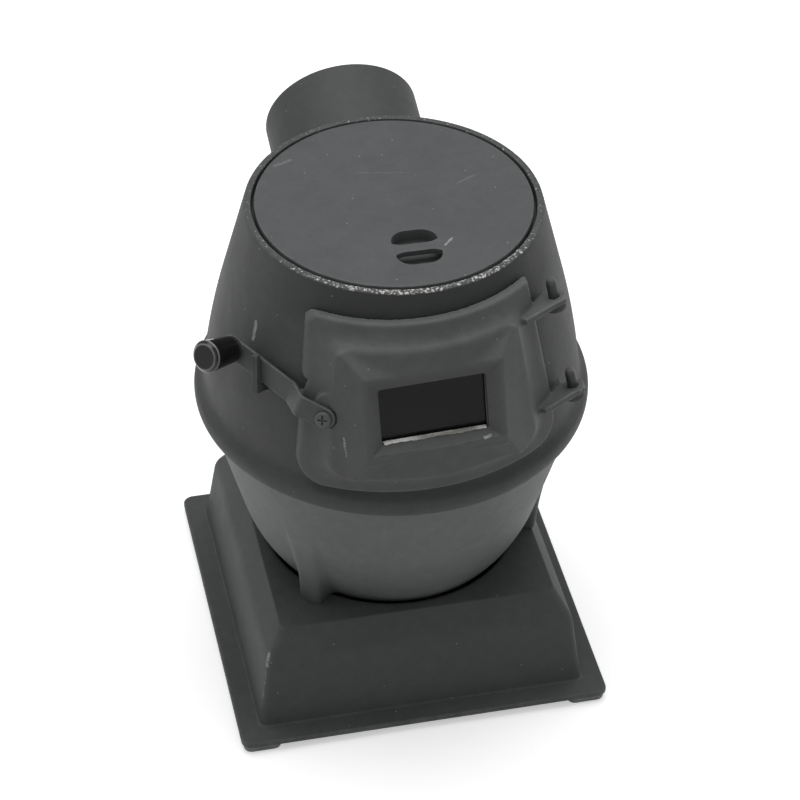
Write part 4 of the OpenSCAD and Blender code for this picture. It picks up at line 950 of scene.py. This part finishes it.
def door_form(x, y, z):
    world = from_local(on_window, x, y, z)
    u, v, w = to_local(on_door, *world)
    off = off_barrel(*world)
    flange = far(tapered_plate(u, w, 204, 164, 136, (20, 20, 4, 8)), off - 8, 2.6)
    outline = tapered_plate(u, w, 160, 137, 102, (12, 12, 6, 6))
    form = near(flange, far(outline, off - 14, 4), 12)
    form = near(form, far(raised_frame(x, y, z), outline, 1), 1.8)
    form = near(form, latch_boss(*to_local(on_latch @ spin(y=-bar_droop), *world)), 2.5)
    hollow = far(tapered_plate(u, w, 148, 125, 90, (6, 6, 3, 3)), off - 8, 2)
    form = far(form, -hollow, 1.2)
    form = far(form, 1 - off, 0.8)
    form = near(form, block(x, y, z + 3.1, (-53.6, 2, -36), (53.6, 17.1, 36), 1.5), 1.5)
    a, b, c = to_local(on_hinge, *world)
    for up in pin_heights:
        form = near(form, far(ear(a, b, c - up), 1 - off, 0.5), 3)
    pin_hole = np.hypot(a, b) - 4.2
    a, b, c = to_local(on_latch, *world)
    spot = np.maximum(np.hypot(a, c) - 9.5, b - 4.45)
    notch = block(a, b, c, (-60, 9, 5), (-23.5, 20.5, 16.7), 0.8)
    form = far(far(form, -window_recess(x, y, z), 0.6), -notch, 2)
    form = np.maximum(form, -np.minimum(pin_hole, spot))
    form = np.maximum(form, 3.1 - np.hypot(a, c) - 100 * (v > 0))
    return np.maximum(form, -158.5 - world[1])


door_paint = stove_paint("matt_grey_paint_on_door", "575958", "868988", scratches_and_highlights=[
    ((-67.2, -140.2, 311.5), (-66.1, -144.1, 296.2), 1.1, 0.6),
    ((37, -152.9, 305.3), (41, -152.3, 305.8), 1.6, 0.6)])
piece("door_casting", "door", door_paint,
      [moved(cast(door_form, (-112, -16, -80), (132, 84, 80), 1.15), on_window)], ["door"])


# ---- Window ----
# Pane of heat-proof stove glass set from behind on a flat rope gasket, held by a folded
# steel frame with four slotted screws. Tar and soot from the fire have browned the pane.

stove_glass, tree = new_material("sooted_stove_glass")
# Clear ceramic glass under a baked film of soot: nearly black, with a soft sheen
place = add(tree, "ShaderNodeTexCoord").outputs["Object"]
film = noise(tree, place, 32.0, 5.0, 0.6)[0]
end_material(tree, {
    "Base Color": blend(tree, film, shade("101010"), shade("1d1c1b")), "IOR": 1.28,
    "Roughness": ramp(tree, film, 0.3, 0.7, 0.1, 0.3), "Transmission Weight": 0.3})
coat("window_glass", stove_glass)
coat("window_gasket", stove_rope)
for node in ("glass_retainer", "glass_screws", "latch_washer", "knob_screw"):
    coat(node, machine_steel)

# The gasket's tape laps over the ledge under the pane, where its frayed edge shows white
lap_tape = woven_glass("woven_glass_tape", "a09e99", "f4f4f1")
lap = []
for t in np.linspace(-38.8, 38.8, 98):
    front = 7.5 + 0.6 * sin(0.21 * t + 1) + 0.35 * sin(0.9 * t) + 0.3 * sin(2.3 * t + 1)
    top = -25.3 + 0.12 * sin(1.7 * t)
    lap.append(np.array([(t, front, -26), (t, 11.5, -26), (t, 11.5, top + 0.4), (t, 10.4, top + 0.1),
                         (t, front + 0.8, top), (t, front + 0.1, top - 0.3)]))
piece("window_gasket_lap", "door", lap_tape, [moved(loft(lap), on_window)])


# ---- Hinge pins ----
# Two loose round pins of plain steel with chamfered ends, dropped down through an ear of
# the door and a lug of the barrel. Their tips shine where the paint has worn off.

pin_paint = stove_paint("worn_paint_on_steel_pin", "3a3c3c", "b4b4b1", 0.45, 0.12)
pin = turned([(0, -13), (3, -13), (4, -12), (4, 0), (4, 11), (3.6, 12.8), (2.7, 14.6), (2, 15), (0, 15)],
             40, pin_paint, 0.8)
for node, up in zip(("hinge_pin_lower", "hinge_pin_upper"), pin_heights):
    piece(node + "_rod", "stove", pin_paint,
          [copies_of(pin, [on_hinge @ Matrix.Translation((0, 0, up))], pin_paint)], [node])


# ---- Latch ----
# Flat steel bar, folded once and bent to pass round the barrel. It turns on a cross-head
# screw in the door's boss, drops into the keeper, and carries a round black knob.

strip_t, strip_half = 3, 8.35
bar_line = [Vector(p) for p in ((12, 0), (-21.3, 0), bar_fold)]
bar_line.append(bar_line[2] + 71 * Vector((-cos(radians(bar_bend)), sin(radians(bar_bend)))))
bar_middle = []
for i, here in enumerate(bar_line):
    before = (here - bar_line[max(i - 1, 0)] if i else bar_line[1] - here).normalized()
    after = (bar_line[min(i + 1, 3)] - here if i < 3 else here - bar_line[2]).normalized()
    side_a, side_b = Vector((before.y, -before.x)), Vector((after.y, -after.x))
    mitre = (side_a + side_b).normalized()
    bar_middle.append(tuple(here + mitre * strip_t / 2 / mitre.dot(side_a)))
bar_middle = eased(bar_middle, [0, 4, 4, 0], 5, closed=False)


def latch_bar(x, y, z):
    strip = np.full(x.shape, 1e3)
    for (px, py), (qx, qy) in zip(bar_middle, bar_middle[1:]):
        ex, ey = qx - px, qy - py
        t = np.clip(((x - px) * ex + (y - py) * ey) / (ex * ex + ey * ey), 0, 1)
        strip = np.minimum(strip, np.hypot(x - px - t * ex, y - py - t * ey))
    end_x = (x - bar_fold[0]) * cos(radians(bar_bend)) - (y - bar_fold[1]) * sin(radians(bar_bend))
    a, b = -67.8 - end_x + 5, abs(z) - strip_half + 5
    outer_end = np.hypot(np.maximum(a, 0), np.maximum(b, 0)) + np.minimum(np.maximum(a, b), 0) - 5
    plan = np.maximum(np.hypot(np.maximum(x, 0), z) - strip_half, outer_end)
    return np.maximum(far(strip - strip_t / 2, plan, 0.9), 3.1 - np.hypot(x, z))


strip_paint = stove_paint("thin_grey_paint_on_steel_strip", "4d4f4f", "9c9d9b", 0.5, 0.12)
piece("latch_bar_strip", "latch", strip_paint,
      [moved(cast(latch_bar, (-100, -2, -10), (10, 46, 10), 0.7), on_latch)], ["latch_bar"])


def pan_head(x, y, z):
    """Screw head seen down its axis: a low dome with a cross punched into it."""
    dome = far(np.hypot(x, y) - 6.2, abs(z - 1.6) - 2.0 + 0.012 * (x * x + y * y), 1.6)
    taper = (z - 1.7) * 0.35
    arms = np.minimum(far(abs(x) - 0.35 - taper, abs(y) - 3.4 - taper, 0.3),
                      far(abs(y) - 0.35 - taper, abs(x) - 3.4 - taper, 0.3))
    return far(np.maximum(dome, -z), -np.maximum(arms, 1.7 - z), 0.25)


screw_shank = turned([(0, -15), (2.4, -15), (3, -14.2), (3, 0.6), (0, 0.6)], 24, machine_steel)
on_screw = [on_latch @ Matrix.Translation((0, -0.25, 0)) @ spin(x=90) @ spin(z=20)]
worn_screw = stove_paint("worn_paint_on_screw_head", "565757", "bdbdba", 0.42, 0.1)
piece("latch_screw_head", "door", worn_screw,
      [copies_of(cast(pan_head, (-7, -7, -0.7), (7, 7, 4.4), 0.3), on_screw, worn_screw),
       copies_of(screw_shank, on_screw, worn_screw)], ["latch_screw"])

bakelite, tree = new_material("moulded_black_bakelite")
# Phenolic moulding: black with a skin gloss that fingers have dulled in patches
place = add(tree, "ShaderNodeTexCoord").outputs["Object"]
smudge = noise(tree, place, 110.0, 4.0)[0]
# Painted highlight: the corners, most of all the face's chamfer, are painted pale grey
edge = add(tree, "ShaderNodeAttribute", attribute_name="edge").outputs["Fac"]
tone = blend(tree, smudge, shade("101011"), shade("1a1a1a"))
end_material(tree, {
    "Base Color": blend(tree, ramp(tree, edge, 0.02, 0.12), tone, shade("868684")),
    "Roughness": ramp(tree, smudge, 0.3, 0.7, 0.12, 0.3), "Specular IOR Level": 0.36,
    "Normal": bump(tree, smudge, 0.05, 0.0005)})
knob_profile = [(0, 0), (9.3, 0), (9.9, 0.6), (10.4, 8), (11.2, 18), (11.9, 27), (12.35, 31.6), (12.4, 32),
                (12.1, 32.5), (9.9, 34.8), (9.4, 35), (5, 35), (0, 35)]
on_knob = on_bar_end @ Matrix.Translation((-57.8, 0, 0)) @ spin(x=90)
piece("latch_knob_moulding", "latch", bakelite,
      [moved(turned(knob_profile, 96, bakelite, 0.8), on_knob)], ["latch_knob"])


# ---- Ash drawer ----
# Folded sheet-steel pan riveted to a cast front that fills the base's side opening. A
# bar across the cup in the front is the pull. The pan slides between ribs on the floor.

lean = tan(radians(wall_lean))
pull_z = 35.5
on_front = Matrix.Translation((132.5 - 24.5 * lean, 0, pull_z)) @ spin(y=-wall_lean)


def drawer_front(x, y, z):
    height = from_local(on_front, x, y, z)[2]
    plate = far(far(abs(x + 2.5) - 2.5, abs(y) - 76, 1.5), abs(height - pull_z) - 23.5, 1.5)
    form = near(plate, far(block(x, y, z, (-16, -25, -15), (0, 25, 15), 3), x, 0.3), 2)
    form = far(form, -block(x, y, z, (-13, -22, -12), (20, 22, 12), 4), 1.5)
    return near(form, block(x, y, z, (-4, -4, -14), (0, 4, 14), 1.6), 1.5)


front_paint = stove_paint("matt_grey_paint_on_drawer_front", "484a4a", "7b7d7d", 0.66)
piece("drawer_front_casting", "drawer", front_paint,
      [moved(cast(drawer_front, (-18, -78, -26), (2, 78, 26), 1.1), on_front)], ["drawer_front"])
rivet = turned([(0, -2.9), (2.6, -2.9), (3.9, -2.5), (4.5, -1.7), (4.4, -1.5), (2.5, -1.5), (2.5, 5),
                (4.4, 5), (4.5, 5.2), (3.9, 5.9), (2.6, 6.35), (0, 6.4)], 32, machine_steel, 0.6)
rivet_places = [
    Matrix.Translation((132.5 - 5 / cos(radians(wall_lean)) - (high - 11) * lean, 61.6 * side, high))
    @ spin(y=90 - wall_lean) for side, high in product((-1, 1), (23.25, 47.75))]
piece("drawer_rivet_heads", "drawer", front_paint,
      [copies_of(rivet, rivet_places, front_paint)], ["drawer_rivets"])

pan_sheet, tree = new_material("thin_black_paint_on_sheet_steel")
# Rolled sheet with a thin dip coat: a faint grain along the pan and a dusting of pale ash
place = add(tree, "ShaderNodeTexCoord").outputs["Object"]
stretched = add(tree, "ShaderNodeMapping", {"Vector": place, "Scale": (30.0, 900.0, 900.0)}).outputs[0]
dust = ramp(tree, noise(tree, place, 60.0, 6.0, 0.7)[0], 0.45, 0.8)
end_material(tree, {
    "Base Color": blend(tree, dust, shade("3b3d3e"), shade("8c8a86")), "Roughness": 0.55,
    "Normal": bump(tree, noise(tree, stretched, 1.0, 3.0)[0], 0.2, 0.0002)})
coat("ash_pan", pan_sheet)
